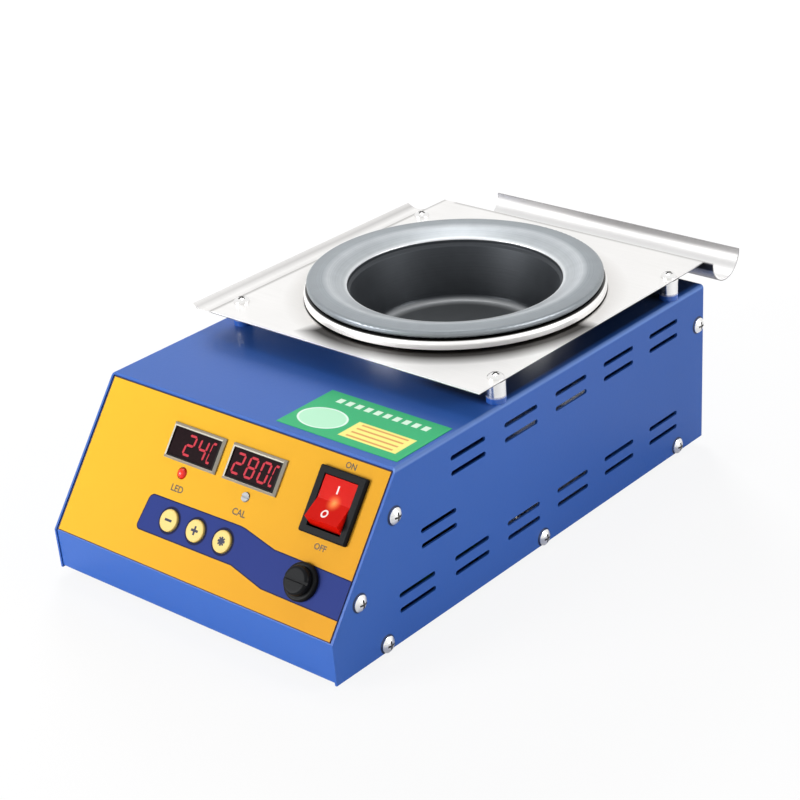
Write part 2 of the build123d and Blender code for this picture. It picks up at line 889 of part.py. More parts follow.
# Fuse carrier: slotted cap with its spigot, a clip, and the glass fuse it holds
with BuildPart() as fuse_cap:
    with BuildSketch(panel.offset(cap_seat)):
        with Locations(fuse_place):
            Circle(fuse_cap_radius)
    extrude(amount=fuse_cap_height)
    fillet(
        fuse_cap.faces().sort_by(Axis(panel.origin, panel.z_dir))[-1].edges(), radius=fuse_cap_round
    )
    with BuildSketch(panel.offset(cap_seat + fuse_cap_height)):
        with Locations(fuse_place):
            Rectangle(2 * fuse_cap_radius, fuse_cap_slot)
    extrude(amount=-fuse_cap_slot_depth, mode=Mode.SUBTRACT)
    with BuildSketch(panel.offset(cap_seat)):
        with Locations(fuse_place):
            Circle(fuse_spigot_radius)
    extrude(amount=-fuse_spigot_length)
save(fuse_cap, "fuse_cap")

with BuildPart() as fuse_clip:
    with BuildSketch(panel.offset(clip_top)):
        with Locations(fuse_place):
            Circle(fuse_spigot_radius)
            Circle(fuse_end_radius + pin_fit, mode=Mode.SUBTRACT)
    extrude(amount=-fuse_clip_length)
save(fuse_clip, "fuse_clip")

with BuildPart() as fuse_ends:
    for level in (fuse_top, fuse_bottom + fuse_end_length):
        with BuildSketch(panel.offset(level)):
            with Locations(fuse_place):
                Circle(fuse_end_radius)
        extrude(amount=-fuse_end_length)
save(fuse_ends, "fuse_ends")

with BuildPart() as fuse_glass:
    with BuildSketch(panel.offset(fuse_top - fuse_end_length)):
        with Locations(fuse_place):
            Circle(fuse_glass_radius)
    extrude(amount=-(fuse_length - 2 * fuse_end_length))
save(fuse_glass, "fuse_glass")

# Top plate: drawn collar round the hole, curved drip flange and half-round gutter
with BuildPart() as top_plate:
    with BuildSketch(Plane.XY.offset(plate_under)):
        with Locations((-plate_left, plate_front)):
            Rectangle(plate_left + plate_right, plate_depth, align=(Align.MIN, Align.MIN))
        with Locations((pot_x, pot_y)):
            Circle(hole_radius + collar_bend, mode=Mode.SUBTRACT)
        with Locations(*standoff_spots):
            Circle(screw_hole, mode=Mode.SUBTRACT)
    extrude(amount=steel)
    with BuildSketch(pot_axis_plane):
        with BuildLine():
            FilletPolyline(
                (hole_radius + collar_bend + steel, plate_top),
                (hole_radius, plate_top),
                (hole_radius, plate_top - collar_drop),
                radius=collar_bend,
            )
            offset(amount=steel, side=Side.LEFT)
        make_face()
    revolve(axis=pot_axis)
    with BuildSketch(Plane.XZ.offset(-plate_front)):
        with BuildLine():
            ThreePointArc(
                (-plate_left, plate_top),
                (-(plate_left + overall_width / 2) / 2, plate_top + flange_rise / 2 - flange_sag),
                (-(overall_width - steel) / 2, plate_top + flange_rise),
            )
            offset(amount=steel, side=Side.LEFT)
        make_face()
    extrude(amount=-(plate_depth - plate_relief))
    with BuildSketch(Plane.YZ.offset(overall_width / 2)):
        with BuildLine():
            ThreePointArc(
                (plate_back, plate_top),
                (plate_back + gutter_bore, plate_top - gutter_bore),
                (plate_back + 2 * gutter_bore, plate_top),
            )
            offset(amount=steel, side=Side.RIGHT)
        make_face()
    extrude(amount=-gutter_length)
save(top_plate, "top_plate")

with BuildPart() as plate_standoffs:
    with BuildSketch(Plane.XY.offset(roof_z)):
        with Locations(*standoff_spots):
            Circle(standoff_radius)
            Circle(screw_hole, mode=Mode.SUBTRACT)
    extrude(amount=standoff_height)
save(plate_standoffs, "plate_standoffs")

plate_screw = pan_screw(steel + standoff_height + 2 * sheet)
with BuildPart() as plate_screws:
    with Locations(*[(x, y, plate_top) for x, y in standoff_spots]):
        add(plate_screw)
save(plate_screws, "plate_screws")

# Solder pot: one spun bowl with a broad rounded rim and a small step under its lip
with BuildPart() as solder_pot:
    with BuildSketch(pot_axis_plane):
        with BuildLine():
            FilletPolyline(
                (0, pot_under),
                (floor_radius + pot_wall, pot_under),
                (mouth_radius + pot_wall, rim_under - mouth_dip),
                (rim_crown_radius, rim_under),
                (rim_radius, rim_under),
                (rim_radius, rim_top),
                (rim_crown_radius, rim_top + rim_crown),
                (mouth_radius, rim_top - mouth_dip),
                (mouth_radius, rim_top - step_drop),
                (mouth_radius - step_width, rim_top - step_drop - step_width),
                (floor_radius, bowl_floor),
                (0, bowl_floor),
                radius=[
                    under_round,
                    rim_edge_round,
                    rim_edge_round,
                    rim_edge_round,
                    rim_edge_round,
                    rim_crown_round,
                    mouth_lip,
                    step_round,
                    step_round,
                    floor_round,
                ],
            )
            Line((0, bowl_floor), (0, pot_under))
        make_face()
    revolve(axis=pot_axis)
save(solder_pot, "solder_pot")

# Heater can: drawn stainless can whose top turns out and down as the bright ring
with BuildPart() as heater_can:
    with BuildSketch(pot_axis_plane):
        with BuildLine():
            FilletPolyline(
                (0, can_under),
                (can_radius, can_under),
                (can_radius, ring_top - steel),
                (ring_radius - steel, ring_top - steel),
                (ring_radius - steel, ring_under),
                radius=[can_bend, ring_bend, ring_bend],
            )
            offset(amount=steel, side=Side.LEFT)
        make_face()
    revolve(axis=pot_axis)
    with BuildSketch(Plane.XY.offset(can_under)):
        with Locations(*terminal_spots):
            Circle(terminal_radius + slide_fit)
        with Locations((pot_x, pot_y)):
            Circle(probe_radius + slide_fit)
    extrude(amount=steel, mode=Mode.SUBTRACT)
save(heater_can, "heater_can")

# Heater band that clamps the pot's wall, with the gap its clamp closes
with BuildPart() as heater_band:
    with BuildSketch(pot_axis_plane):
        inner_low = wall_radius(band_under) + heater_fit
        inner_high = wall_radius(band_top) + heater_fit
        Polygon(
            (inner_low, band_under),
            (inner_low + band_thickness, band_under),
            (inner_high + band_thickness, band_top),
            (inner_high, band_top),
            align=None,
        )
    revolve(axis=pot_axis)
    with BuildSketch(Plane.XY.offset(band_under)):
        with Locations((pot_x, pot_y)):
            Rectangle(band_gap, 2 * can_radius, align=(Align.CENTER, Align.MIN))
    extrude(amount=band_height, mode=Mode.SUBTRACT)
save(heater_band, "heater_band")

with BuildPart() as heater_terminals:
    with BuildSketch(Plane.XY.offset(band_under)):
        with Locations(*terminal_spots):
            Circle(terminal_radius)
    extrude(amount=-(band_under - can_under + bracket_sheet + terminal_drop))
save(heater_terminals, "heater_terminals")

# Insulation: a cup under the pot and a blanket round the heater band
with BuildPart() as insulation_cup:
    with BuildSketch(pot_axis_plane):
        Polygon(
            (0, cup_floor),
            (blanket_radius, cup_floor),
            (blanket_radius, band_under),
            (wall_radius(band_under) + heater_fit, band_under),
            (wall_radius(band_under) + heater_fit, pot_under - heater_fit),
            (0, pot_under - heater_fit),
            align=None,
        )
        with Locations((blanket_radius, cup_floor)):
            Circle(can_bend, mode=Mode.SUBTRACT)
    revolve(axis=pot_axis)
    with BuildSketch(Plane.XY.offset(cup_floor)):
        with Locations(*terminal_spots):
            Circle(terminal_radius + slide_fit)
        with Locations((pot_x, pot_y)):
            Circle(probe_radius + slide_fit)
    extrude(amount=band_under - cup_floor, mode=Mode.SUBTRACT)
save(insulation_cup, "insulation_cup")

with BuildPart() as insulation_blanket:
    with BuildSketch(pot_axis_plane):
        Polygon(
            (inner_low + band_thickness + heater_fit, band_under + heater_fit),
            (blanket_radius, band_under + heater_fit),
            (blanket_radius, ring_top - 2 * ring_bend),
            (inner_high + band_thickness + heater_fit, ring_top - 2 * ring_bend),
            align=None,
        )
    revolve(axis=pot_axis)
save(insulation_blanket, "insulation_blanket")

with BuildPart() as temperature_probe:
    with BuildSketch(Plane.XY.offset(pot_under - pin_fit)):
        with Locations((pot_x, pot_y)):
            Circle(probe_radius)
    extrude(amount=-(pot_under - can_under + bracket_sheet + probe_tail))
save(temperature_probe, "temperature_probe")

# Bridge bracket that stands on the chassis floor and carries the can
with BuildPart() as can_bracket:
    with BuildSketch(Plane.XZ.offset(-pot_y)):
        with Locations((pot_x, 0)):
            add(bracket_section())
    extrude(amount=bracket_depth / 2, both=True)
    with BuildSketch(Plane.XY.offset(can_under)):
        with Locations(*terminal_spots):
            Circle(terminal_radius + slide_fit)
        with Locations((pot_x, pot_y)):
            Circle(probe_radius + slide_fit)
    extrude(amount=-bracket_sheet, mode=Mode.SUBTRACT)
    with BuildSketch(Plane.XY.offset(floor_top)):
        with Locations(*bracket_screw_spots):
            Circle(screw_hole)
    extrude(amount=bracket_sheet, mode=Mode.SUBTRACT)
save(can_bracket, "can_bracket")

bracket_screw = pan_screw(bracket_sheet + 2 * sheet)
with BuildPart() as bracket_screws:
    with Locations(*[(x, y, floor_top + bracket_sheet) for x, y in bracket_screw_spots]):
        add(bracket_screw)
save(bracket_screws, "bracket_screws")

# Control board on posts, with its relay, terminal block, triac and heat sink
board_under = floor_top + control_board_lift
board_top = board_under + board
with BuildPart() as board_posts:
    with BuildSketch(Plane.XY.offset(floor_top)):
        with Locations(*board_spots):
            RegularPolygon(post_radius, 6)
    extrude(amount=control_board_lift)
save(board_posts, "board_posts")

with BuildPart() as control_board:
    with BuildSketch(Plane.XY.offset(board_under)):
        with Locations((control_board_x, front_y + control_board_setback)):
            Rectangle(control_board_width, control_board_length)
    extrude(amount=board)
save(control_board, "control_board")

with BuildPart() as relay:
    with BuildSketch(Plane.XY.offset(board_top)):
        with Locations((relay_x, front_y + relay_setback)):
            RectangleRounded(relay_width, relay_length, sheet)
    extrude(amount=relay_height)
save(relay, "relay")

with BuildPart() as terminal_block:
    with BuildSketch(Plane.XY.offset(board_top)):
        with Locations((block_x, front_y + block_setback)):
            Rectangle(block_width, block_length)
    extrude(amount=block_height)
    with BuildSketch(Plane.XY.offset(board_top + block_height)):
        with Locations((block_x, front_y + block_setback)):
            with GridLocations(block_width / block_ways, 0, block_ways, 1):
                Circle(block_port_radius)
    extrude(amount=-block_height / 2, mode=Mode.SUBTRACT)
save(terminal_block, "terminal_block")

with BuildPart() as heat_sink:
    with BuildSketch(Plane.XY.offset(board_top)):
        with Locations((sink_x, front_y + sink_setback)):
            Rectangle(sink_width, sink_base, align=(Align.CENTER, Align.MAX))
            with GridLocations((sink_width - sink_fin) / (sink_fins - 1), 0, sink_fins, 1):
                Rectangle(sink_fin, sink_length - sink_base, align=(Align.CENTER, Align.MIN))
    extrude(amount=sink_height)
save(heat_sink, "heat_sink")

with BuildPart() as triac:
    with BuildSketch(Plane.XY.offset(board_top)):
        with Locations((sink_x, front_y + sink_setback - sink_base)):
            Rectangle(triac_width, triac_thickness, align=(Align.CENTER, Align.MAX))
    extrude(amount=triac_height)
save(triac, "triac")

with BuildPart() as capacitor:
    with BuildSketch(Plane.XY.offset(board_top)):
        with Locations((capacitor_x, front_y + capacitor_setback)):
            Circle(capacitor_radius)
    extrude(amount=capacitor_height)
    fillet(capacitor.edges().group_by(Axis.Z)[-1], radius=capacitor_round)
save(capacitor, "capacitor")

# Transformer: laminated core with two windows and the coil on its middle leg
core_middle = floor_top + core_height / 2
with BuildPart() as transformer_core:
    with BuildSketch(Plane.XZ.offset(-(front_y + core_setback))):
        with Locations((core_x, core_middle)):
            Rectangle(core_width, core_height)
            with GridLocations(core_width / 2, 0, 2, 1):
                Rectangle(core_window_width, core_window_height, mode=Mode.SUBTRACT)
    extrude(amount=core_stack / 2, both=True)
save(transformer_core, "transformer_core")

with BuildPart() as transformer_coil:
    with BuildSketch(Plane.XY.offset(core_middle)):
        with Locations((core_x, front_y + core_setback)):
            RectangleRounded(
                core_width / 2 + core_window_width - 2 * coil_fit, coil_length, coil_round
            )
            Rectangle(
                core_width / 2 - core_window_width + 2 * coil_fit,
                core_stack + 2 * coil_fit,
                mode=Mode.SUBTRACT,
            )
    extrude(amount=core_window_height / 2 - coil_fit, both=True)
save(transformer_coil, "transformer_coil")

# Mains inlet with three pins in its mouth, fixed by two screws
mouth_floor = inlet_flange - inlet_mouth_depth
with BuildPart() as mains_inlet:
    with BuildSketch(rear_wall):
        with Locations(inlet_spot):
            RectangleRounded(inlet_flange_width, inlet_flange_height, inlet_corner)
            with GridLocations(inlet_screw_pitch, 0, 2, 1):
                Circle(screw_hole, mode=Mode.SUBTRACT)
    extrude(amount=inlet_flange)
    with BuildSketch(rear_wall):
        with Locations(inlet_spot):
            Rectangle(inlet_body_width, inlet_body_height)
    extrude(amount=-inlet_body_depth)
    with BuildSketch(rear_wall.offset(inlet_flange)):
        with Locations(inlet_spot):
            Rectangle(inlet_mouth_width, inlet_mouth_height)
        chamfer(vertices().group_by(Axis.Z)[-1], length=inlet_mouth_corner)
    extrude(amount=-inlet_mouth_depth, mode=Mode.SUBTRACT)
    with BuildSketch(rear_wall.offset(mouth_floor)):
        with Locations(*pin_spots):
            Rectangle(inlet_pin_thickness + pin_fit, inlet_pin_width + pin_fit)
    extrude(amount=-inlet_body_depth, mode=Mode.SUBTRACT)
save(mains_inlet, "mains_inlet")

with BuildPart() as inlet_pins:
    with BuildSketch(rear_wall.offset(mouth_floor + inlet_pin_length)):
        with Locations(*pin_spots):
            Rectangle(inlet_pin_thickness, inlet_pin_width)
    extrude(amount=-(inlet_body_depth + mouth_floor + inlet_pin_length + inlet_tail))
save(inlet_pins, "inlet_pins")

inlet_screw = pan_screw(inlet_screw_length)
inlet_face_y = chassis_rear + inlet_flange
inlet_screw_seats = [
    Plane((inlet_x + i * inlet_screw_pitch / 2, inlet_face_y, base_z + inlet_rise), (1, 0, 0), (0, 1, 0))
    for i in (-1, 1)
]
with BuildPart() as inlet_screws:
    with Locations(*inlet_screw_seats):
        add(inlet_screw)
save(inlet_screws, "inlet_screws")

# Earth stud with its nut on the chassis floor
with BuildPart() as earth_stud:
    with BuildSketch(Plane.XY.offset(floor_top)):
        with Locations((stud_x, front_y + stud_setback)):
            Circle(stud_radius)
    extrude(amount=stud_height)
    with BuildSketch(Plane.XY.offset(floor_top)):
        with Locations((stud_x, front_y + stud_setback)):
            RegularPolygon(nut_radius, 6)
    extrude(amount=nut_height)
save(earth_stud, "earth_stud")

# Printed label on the roof
with BuildPart() as roof_label:
    with BuildSketch(Plane.XY.offset(roof_z)):
        with Locations((label_x, front_y + label_setback)):
            Rectangle(label_width, label_depth)
    extrude(amount=label_film)
save(roof_label, "roof_label")
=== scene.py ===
import bpy
import numpy as np
from mathutils import Matrix, Vector


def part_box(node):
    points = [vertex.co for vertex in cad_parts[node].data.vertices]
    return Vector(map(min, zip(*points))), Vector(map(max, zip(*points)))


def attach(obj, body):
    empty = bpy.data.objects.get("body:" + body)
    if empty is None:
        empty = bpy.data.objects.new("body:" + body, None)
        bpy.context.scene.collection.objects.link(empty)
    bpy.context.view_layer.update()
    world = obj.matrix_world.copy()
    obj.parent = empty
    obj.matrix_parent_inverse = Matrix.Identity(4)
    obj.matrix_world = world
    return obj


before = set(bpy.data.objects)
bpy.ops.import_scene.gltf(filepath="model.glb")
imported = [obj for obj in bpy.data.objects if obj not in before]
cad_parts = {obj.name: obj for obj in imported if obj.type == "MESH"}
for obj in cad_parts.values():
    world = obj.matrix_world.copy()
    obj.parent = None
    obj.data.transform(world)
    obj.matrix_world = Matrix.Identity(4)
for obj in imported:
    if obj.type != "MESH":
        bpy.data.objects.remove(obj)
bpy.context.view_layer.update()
scene = bpy.context.scene
scene.view_settings.view_transform = "Standard"


# Viewpoint: a long lens above the pot's front right corner, tipped a little to one side.
# Its place was worked out from the corners of the housing, the top plate and the pot's rim.
eye = (0.564436, -0.643707, 0.461658)
sight_right = np.array([0.7651, 0.6400, -0.0513])
sight_back = np.array([0.5964, -0.6753, 0.4340])
sight_back /= np.linalg.norm(sight_back)
sight_right -= sight_back * (sight_right @ sight_back)
sight_right /= np.linalg.norm(sight_right)
sight_up = np.cross(sight_back, sight_right)
viewer = bpy.data.objects.new("viewer", bpy.data.cameras.new("viewer"))
scene.collection.objects.link(viewer)
viewer.data.sensor_width = 36.0
viewer.data.lens = 92.675
viewer.data.clip_end = 20.0
turn = Matrix(np.column_stack([sight_right, sight_up, sight_back]).tolist())
viewer.matrix_world = Matrix.Translation(eye) @ turn.to_4x4()
scene.camera = viewer


# Studio: a plain pale floor, a white surround and four large soft lamps.
# The surround is white to the camera and in gloss, and plain light elsewhere.
surround_strength = 0.30
floor_half = 3.0
floor_grey = (0.93, 0.93, 0.94, 1)
floor_white_share = 0.88
lamps = [
    ("front_lamp", (-0.75, -1.45, 0.42), 0.8, 26.0),
    ("side_lamp", (1.3, 0.45, 0.55), 0.7, 9.4),
    ("top_lamp", (-0.35, 0.40, 1.5), 0.4, 3.0),
    ("back_lamp", (-1.05, 0.95, 0.72), 0.5, 20.0),
]


# Shader sockets take part in ordinary arithmetic, so each finish below reads as a formula.
# Lengths in a finish are millimetres on the part, measured from the part's own origin.
class Wire:
    """One shader socket. Sums, products and comparisons of wires add their Math nodes."""

    def __init__(self, socket):
        self.socket = socket

    def node(self, kind, inputs, settings=None, out=0):
        """Add a node of any kind: its settings first, then values or wires for its sockets."""
        tree = self.socket.id_data
        made = tree.nodes.new(kind)
        for key, value in (settings or {}).items():
            if key == "stops":
                ramp = made.color_ramp
                for place, tint in value[1:-1]:
                    ramp.elements.new(place).color = tint
                ramp.elements[0].position, ramp.elements[0].color = value[0]
                ramp.elements[-1].position, ramp.elements[-1].color = value[-1]
            else:
                setattr(made, key, value)
        for key, value in inputs.items():
            if isinstance(value, Wire):
                tree.links.new(value.socket, made.inputs[key])
            else:
                made.inputs[key].default_value = value
        return Wire(made.outputs[out])

    def math(self, operation, *others):
        """One Math node on this wire and up to two more values."""
        inputs = dict(enumerate((self, *others)))
        return self.node("ShaderNodeMath", inputs, {"operation": operation})

    def __add__(self, other):
        return self.math("ADD", other)

    def __sub__(self, other):
        return self.math("SUBTRACT", other)

    def __mul__(self, other):
        return self.math("MULTIPLY", other)

    def __truediv__(self, other):
        return self.math("DIVIDE", other)

    def __rsub__(self, other):
        return self * -1 + other

    __radd__ = __add__
    __rmul__ = __mul__

    def size(self):
        """The value without its sign."""
        return self.math("ABSOLUTE")

    def most(self, other):
        """The larger of this and another value: one mask or the other."""
        return self.math("MAXIMUM", other)

    def least(self, other):
        """The smaller of this and another value."""
        return self.math("MINIMUM", other)

    def clip(self):
        """The value held between 0 and 1."""
        return self.least(1).most(0)

    def over(self, edge, soft=0.04):
        """0 below the edge and 1 above it, with a soft step."""
        return ((self - edge) / soft + 0.5).clip()

    def under(self, edge, soft=0.04):
        """1 below the edge and 0 above it, with a soft step."""
        return 1 - self.over(edge, soft)

    def near(self, middle, half, soft=0.04):
        """1 up to half on either side of the middle and 0 beyond it, with soft steps."""
        return (self - middle).size().under(half, soft)

    def fade(self, reach):
        """1 at zero, falling evenly to 0 at the reach."""
        return 1 - (self / reach).clip()

    def ripple(self, pitch):
        """0 in the middle of each pitch and 0.5 at its ends, over and over."""
        return ((self / pitch).math("FRACT") - 0.5).size()

    def split(self):
        """The three coordinates of a position, in millimetres."""
        parts = self.node("ShaderNodeSeparateXYZ", {0: self}).socket.node.outputs
        return [Wire(part) * 1000 for part in parts]

    def noise(self, scale, detail=2.0, stretch=(1, 1, 1)):
        """Cloudy noise around 0.5, that many lumps to the metre, on stretched coordinates."""
        place = self.node("ShaderNodeMapping", {"Vector": self, "Scale": stretch})
        inputs = {"Vector": place, "Scale": scale, "Detail": detail}
        return place.node("ShaderNodeTexNoise", inputs)

    def tint(self, low, high):
        """A colour between low and high by this value: colours or wires of colour."""
        ends = [c if isinstance(c, Wire) else (*c, 1) for c in (low, high)]
        inputs = {0: self, 6: ends[0], 7: ends[1]}
        return self.node("ShaderNodeMix", inputs, {"data_type": "RGBA"}, 2)

    def bump(self, depth):
        """Dents of this height field, depth in millimetres."""
        inputs = {"Height": self, "Distance": depth / 1000, "Strength": 1.0}
        return self.node("ShaderNodeBump", inputs)


def start_finish(name, **constants):
    """A new material, its shader node with constants set, and the position on the part."""
    finish = bpy.data.materials.new(name)
    finish.use_nodes = True
    shader = finish.node_tree.nodes["Principled BSDF"]
    for socket, value in constants.items():
        shader.inputs[socket.replace("_", " ")].default_value = value
    place = finish.node_tree.nodes.new("ShaderNodeTexCoord")
    return finish, shader, Wire(place.outputs["Object"])


world = bpy.data.worlds.new("surround")
world.use_nodes = True
scene.world = world
sky = world.node_tree.nodes["Background"]
sky_rays = world.node_tree.nodes.new("ShaderNodeLightPath").outputs
seen = Wire(sky_rays["Is Camera Ray"]).most(Wire(sky_rays["Is Glossy Ray"]))
seen = seen.most(Wire(sky_rays["Is Transmission Ray"]))
sky_strength = seen * (1 - surround_strength) + surround_strength
world.node_tree.links.new(sky_strength.socket, sky.inputs["Strength"])
sky.inputs["Color"].default_value = (1, 1, 1, 1)
floor_mesh = bpy.data.meshes.new("floor")
floor_corners = np.array([(-1, -1, 0), (1, -1, 0), (1, 1, 0), (-1, 1, 0)]) * floor_half
floor_mesh.from_pydata(floor_corners.tolist(), [], [(0, 1, 2, 3)])
floor = bpy.data.objects.new("floor", floor_mesh)
scene.collection.objects.link(floor)
floor_finish, floor_shader, floor_place = start_finish("floor", Roughness=0.85)
floor_shader.inputs["Base Color"].default_value = floor_grey
floor_white = floor_place.node("ShaderNodeEmission", {"Strength": 1.0})
floor_rays = floor_finish.node_tree.nodes.new("ShaderNodeLightPath").outputs
floor_seen = Wire(floor_rays["Is Camera Ray"]) * floor_white_share
floor_parts = {0: floor_seen, 1: Wire(floor_shader.outputs[0]), 2: floor_white}
floor_mix = floor_place.node("ShaderNodeMixShader", floor_parts)
floor_end = floor_finish.node_tree.nodes["Material Output"]
floor_finish.node_tree.links.new(floor_mix.socket, floor_end.inputs["Surface"])
floor_mesh.materials.append(floor_finish)
for lamp_name, lamp_spot, lamp_size, lamp_power in lamps:
    lamp = bpy.data.objects.new(lamp_name, bpy.data.lights.new(lamp_name, "AREA"))
    scene.collection.objects.link(lamp)
    lamp.data.size = lamp_size
    lamp.data.energy = lamp_power
    lamp_turn = Vector(lamp_spot).to_track_quat("Z", "Y").to_matrix().to_4x4()
    lamp.matrix_world = Matrix.Translation(lamp_spot) @ lamp_turn
    lamp.visible_glossy = lamp_name != "back_lamp"


# Housing: two pieces of folded 1 mm steel, a chassis and an inverted U cover.
# Both are sprayed with a satin blue powder coat that has a slight orange peel. Painted on the
# coat: a highlight along the cover's right fold, shade round the side screws and towards the right
# side's rear, and a shadow on the roof beneath the plate.
case_half = 82.5
roof_z = 82.5
side_heads = [
    (-129.3, 33.6), (-105.4, 62.5), (117.5, 63.4),
    (-114.4, 6.6), (-7.0, 6.6), (100.4, 6.6),
]
head_ring = 4.35
fold_width = 1.5
coat_blue = (0.034, 0.124, 0.46)
coat_deep = (0.026, 0.102, 0.41)
coat_rear_shade_blue = (0.016, 0.085, 0.355)
coat_painted_highlight = (0.125, 0.24, 0.60)
coat_painted_shadow = (0.002, 0.003, 0.008)
coat_screw_shade = (0.006, 0.009, 0.022)
rear_start = -30
rear_length = 130
shade_front = -36
shade_left = 40
shade_right = 80.6
shade_low = roof_z - 3.9


def wire_up(shader, **wires):
    """Join wires to the shader's sockets."""
    for socket, wire in wires.items():
        shader.id_data.links.new(wire.socket, shader.inputs[socket.replace("_", " ")])


def dress(finish, *names):
    """Give a finish to parts of the solid model."""
    for name in names:
        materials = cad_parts[name].data.materials
        materials.clear()
        materials.append(finish)


def spot_distance(x, rise, spot):
    """Distance from a spot, across two coordinates: the root of the sum of their squares."""
    across, up = x - spot[0], rise - spot[1]
    return (across * across + up * up).math("SQRT")


coat, coat_shader, coat_place = start_finish("blue_powder_coat", Specular_IOR_Level=0.30)
coat_cloud = coat_place.noise(9.0, 3.0)
coat_peel = coat_place.noise(620.0, 2.0)
coat_grain = coat_place.noise(2600.0, 1.0)
coat_x, coat_y, coat_z = coat_place.split()
head_reach = spot_distance(coat_y, coat_z, side_heads[0])
for spot in side_heads[1:]:
    head_reach = head_reach.least(spot_distance(coat_y, coat_z, spot))
side_skin = case_half - 0.2
# Painted shade: a dark ring round the head of each side screw.
screw_shade_ring = coat_x.size().over(side_skin, 0.2) * head_reach.under(head_ring, 0.5) * 0.85
# Painted shade: the right side turns deeper blue towards its rear.
side_rear_shade = coat_x.over(side_skin, 0.2) * ((coat_y - rear_start) / rear_length).clip()
# Painted shadow: the roof beneath the plate's right side is darkened, deepest under the plate.
roof_shadow = coat_z.over(shade_low, 0.5) * coat_y.over(shade_front, 5)
roof_shadow = roof_shadow * coat_x.over(shade_left, 15)
roof_shadow = roof_shadow * ((shade_right - coat_x) / 2.8).clip() * 0.85
# Painted highlight: a pale line along the cover's right fold.
fold_highlight = coat_x.over(case_half - fold_width, 0.8) * coat_z.over(roof_z - fold_width, 0.8)
coat_colour = side_rear_shade.tint(coat_cloud.tint(coat_deep, coat_blue), coat_rear_shade_blue)
coat_colour = roof_shadow.tint(coat_colour, coat_painted_shadow)
coat_colour = fold_highlight.tint(coat_colour, coat_painted_highlight)
wire_up(
    coat_shader,
    Base_Color=screw_shade_ring.tint(coat_colour, coat_screw_shade),
    Roughness=coat_cloud * 0.10 + coat_grain * 0.08 + 0.30,
    Normal=(coat_peel + coat_grain * 0.3).bump(0.03),
)
dress(coat, "base_chassis", "housing_cover")


# Feet: four moulded rubber feet with a fine grain, scuffed where they stand.
# Each is held to the chassis floor by a screw from below.
rubber, rubber_shader, rubber_place = start_finish("foot_rubber")
rubber_grain = rubber_place.noise(900.0, 4.0)
rubber_scuff = rubber_place.split()[2].under(0.8, 0.8) * rubber_place.noise(120.0, 3.0)
rubber_dust = rubber_grain * 0.4 + rubber_scuff * 0.6
wire_up(
    rubber_shader,
    Base_Color=rubber_dust.tint((0.012, 0.012, 0.013), (0.075, 0.073, 0.07)),
    Roughness=rubber_grain * 0.25 + 0.6,
    Normal=rubber_grain.bump(0.06),
)
dress(rubber, "foot_front_left", "foot_front_right", "foot_rear_left", "foot_rear_right")


# Screws, standoffs and fuse ends: nickel plated steel, bright with a faint handling haze.
# The foot of each standoff is painted in the roof's blue, as its reflection and shade there.
foot_reflection_top = roof_z + 2.9
nickel, nickel_shader, nickel_place = start_finish("bright_steel")
nickel_z = nickel_place.split()[2]
standoff_foot_reflection = nickel_z.over(roof_z - 0.5, 0.4) * nickel_z.under(foot_reflection_top, 1.3)
nickel_haze = nickel_place.noise(420.0, 3.0)
nickel_grain = nickel_place.noise(3200.0, 1.0, (1, 1, 3))
nickel_colour = nickel_haze.tint((0.80, 0.79, 0.77), (0.93, 0.93, 0.93))
wire_up(
    nickel_shader,
    Base_Color=standoff_foot_reflection.tint(nickel_colour, coat_deep),
    Metallic=1 - standoff_foot_reflection,
    Roughness=nickel_haze * 0.16 + nickel_grain * 0.06 + 0.06,
    Normal=nickel_grain.bump(0.008),
)
dress(
    nickel, "foot_screws", "cover_screws_left", "cover_screws_right", "plate_screws",
    "plate_standoffs", "inlet_screws", "bracket_screws", "fuse_ends",
)


# Cross recesses of the screws: two dark strokes laid in each head, as painted shade there.
# Side screws face left and right; those of the top plate face up.
recess_long = 1.95
recess_wide = 0.43
side_recess = 84.0
plate_recess = 94.8
plate_heads = [(-70.2, -31.4), (-70.2, 99.6), (77.8, -31.4), (77.8, 99.6)]


def add_piece(name, spots, faces, finish, body):
    """A piece from positions in millimetres and faces, riding on a body of the solid model."""
    mesh = bpy.data.meshes.new(name)
    corners = (np.asarray(spots) / 1000).tolist()
    mesh.from_pydata(corners, [], [list(map(int, face)) for face in faces])
    mesh.materials.append(finish)
    piece = bpy.data.objects.new(name, mesh)
    scene.collection.objects.link(piece)
    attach(piece, body)
    return piece


def crosses(centres, along, across):
    """Crossed strokes round each centre: a long rectangle and the same turned, two faces."""
    corners = np.array([(-1, -1), (1, -1), (1, 1), (-1, 1)])
    stroke_size = np.array([recess_long, recess_wide])
    flat = np.vstack([corners * stroke_size, corners * stroke_size[::-1]])
    stroke = flat[:, :1] * along + flat[:, 1:] * across
    spots = (np.asarray(centres, float)[:, None] + stroke).reshape(-1, 3)
    return spots, np.arange(len(spots)).reshape(-1, 4)


# Painted shade for the recesses: near black with a faint fleck.
recess_shade, recess_shade_shader, recess_shade_place = start_finish("recess_painted_shade")
recess_shade_speck = recess_shade_place.noise(2400.0, 3.0)
wire_up(
    recess_shade_shader,
    Base_Color=recess_shade_speck.tint((0.015, 0.014, 0.013), (0.10, 0.095, 0.09)),
    Roughness=recess_shade_speck * 0.3 + 0.5,
)
right_centres = [(side_recess, y, z) for y, z in side_heads]
left_centres = [(-side_recess, y, z) for y, z in side_heads]
plate_centres = [(x, y, plate_recess) for x, y in plate_heads]
for name, centres, along, across in (
    ("side_recesses_right", right_centres, (0, 1, 0), (0, 0, 1)),
    ("side_recesses_left", left_centres, (0, -1, 0), (0, 0, 1)),
    ("plate_recesses", plate_centres, (1, 0, 0), (0, 1, 0)),
):
    spots, faces = crosses(centres, np.array(along), np.array(across))
    add_piece(name, spots, faces, recess_shade, "housing")
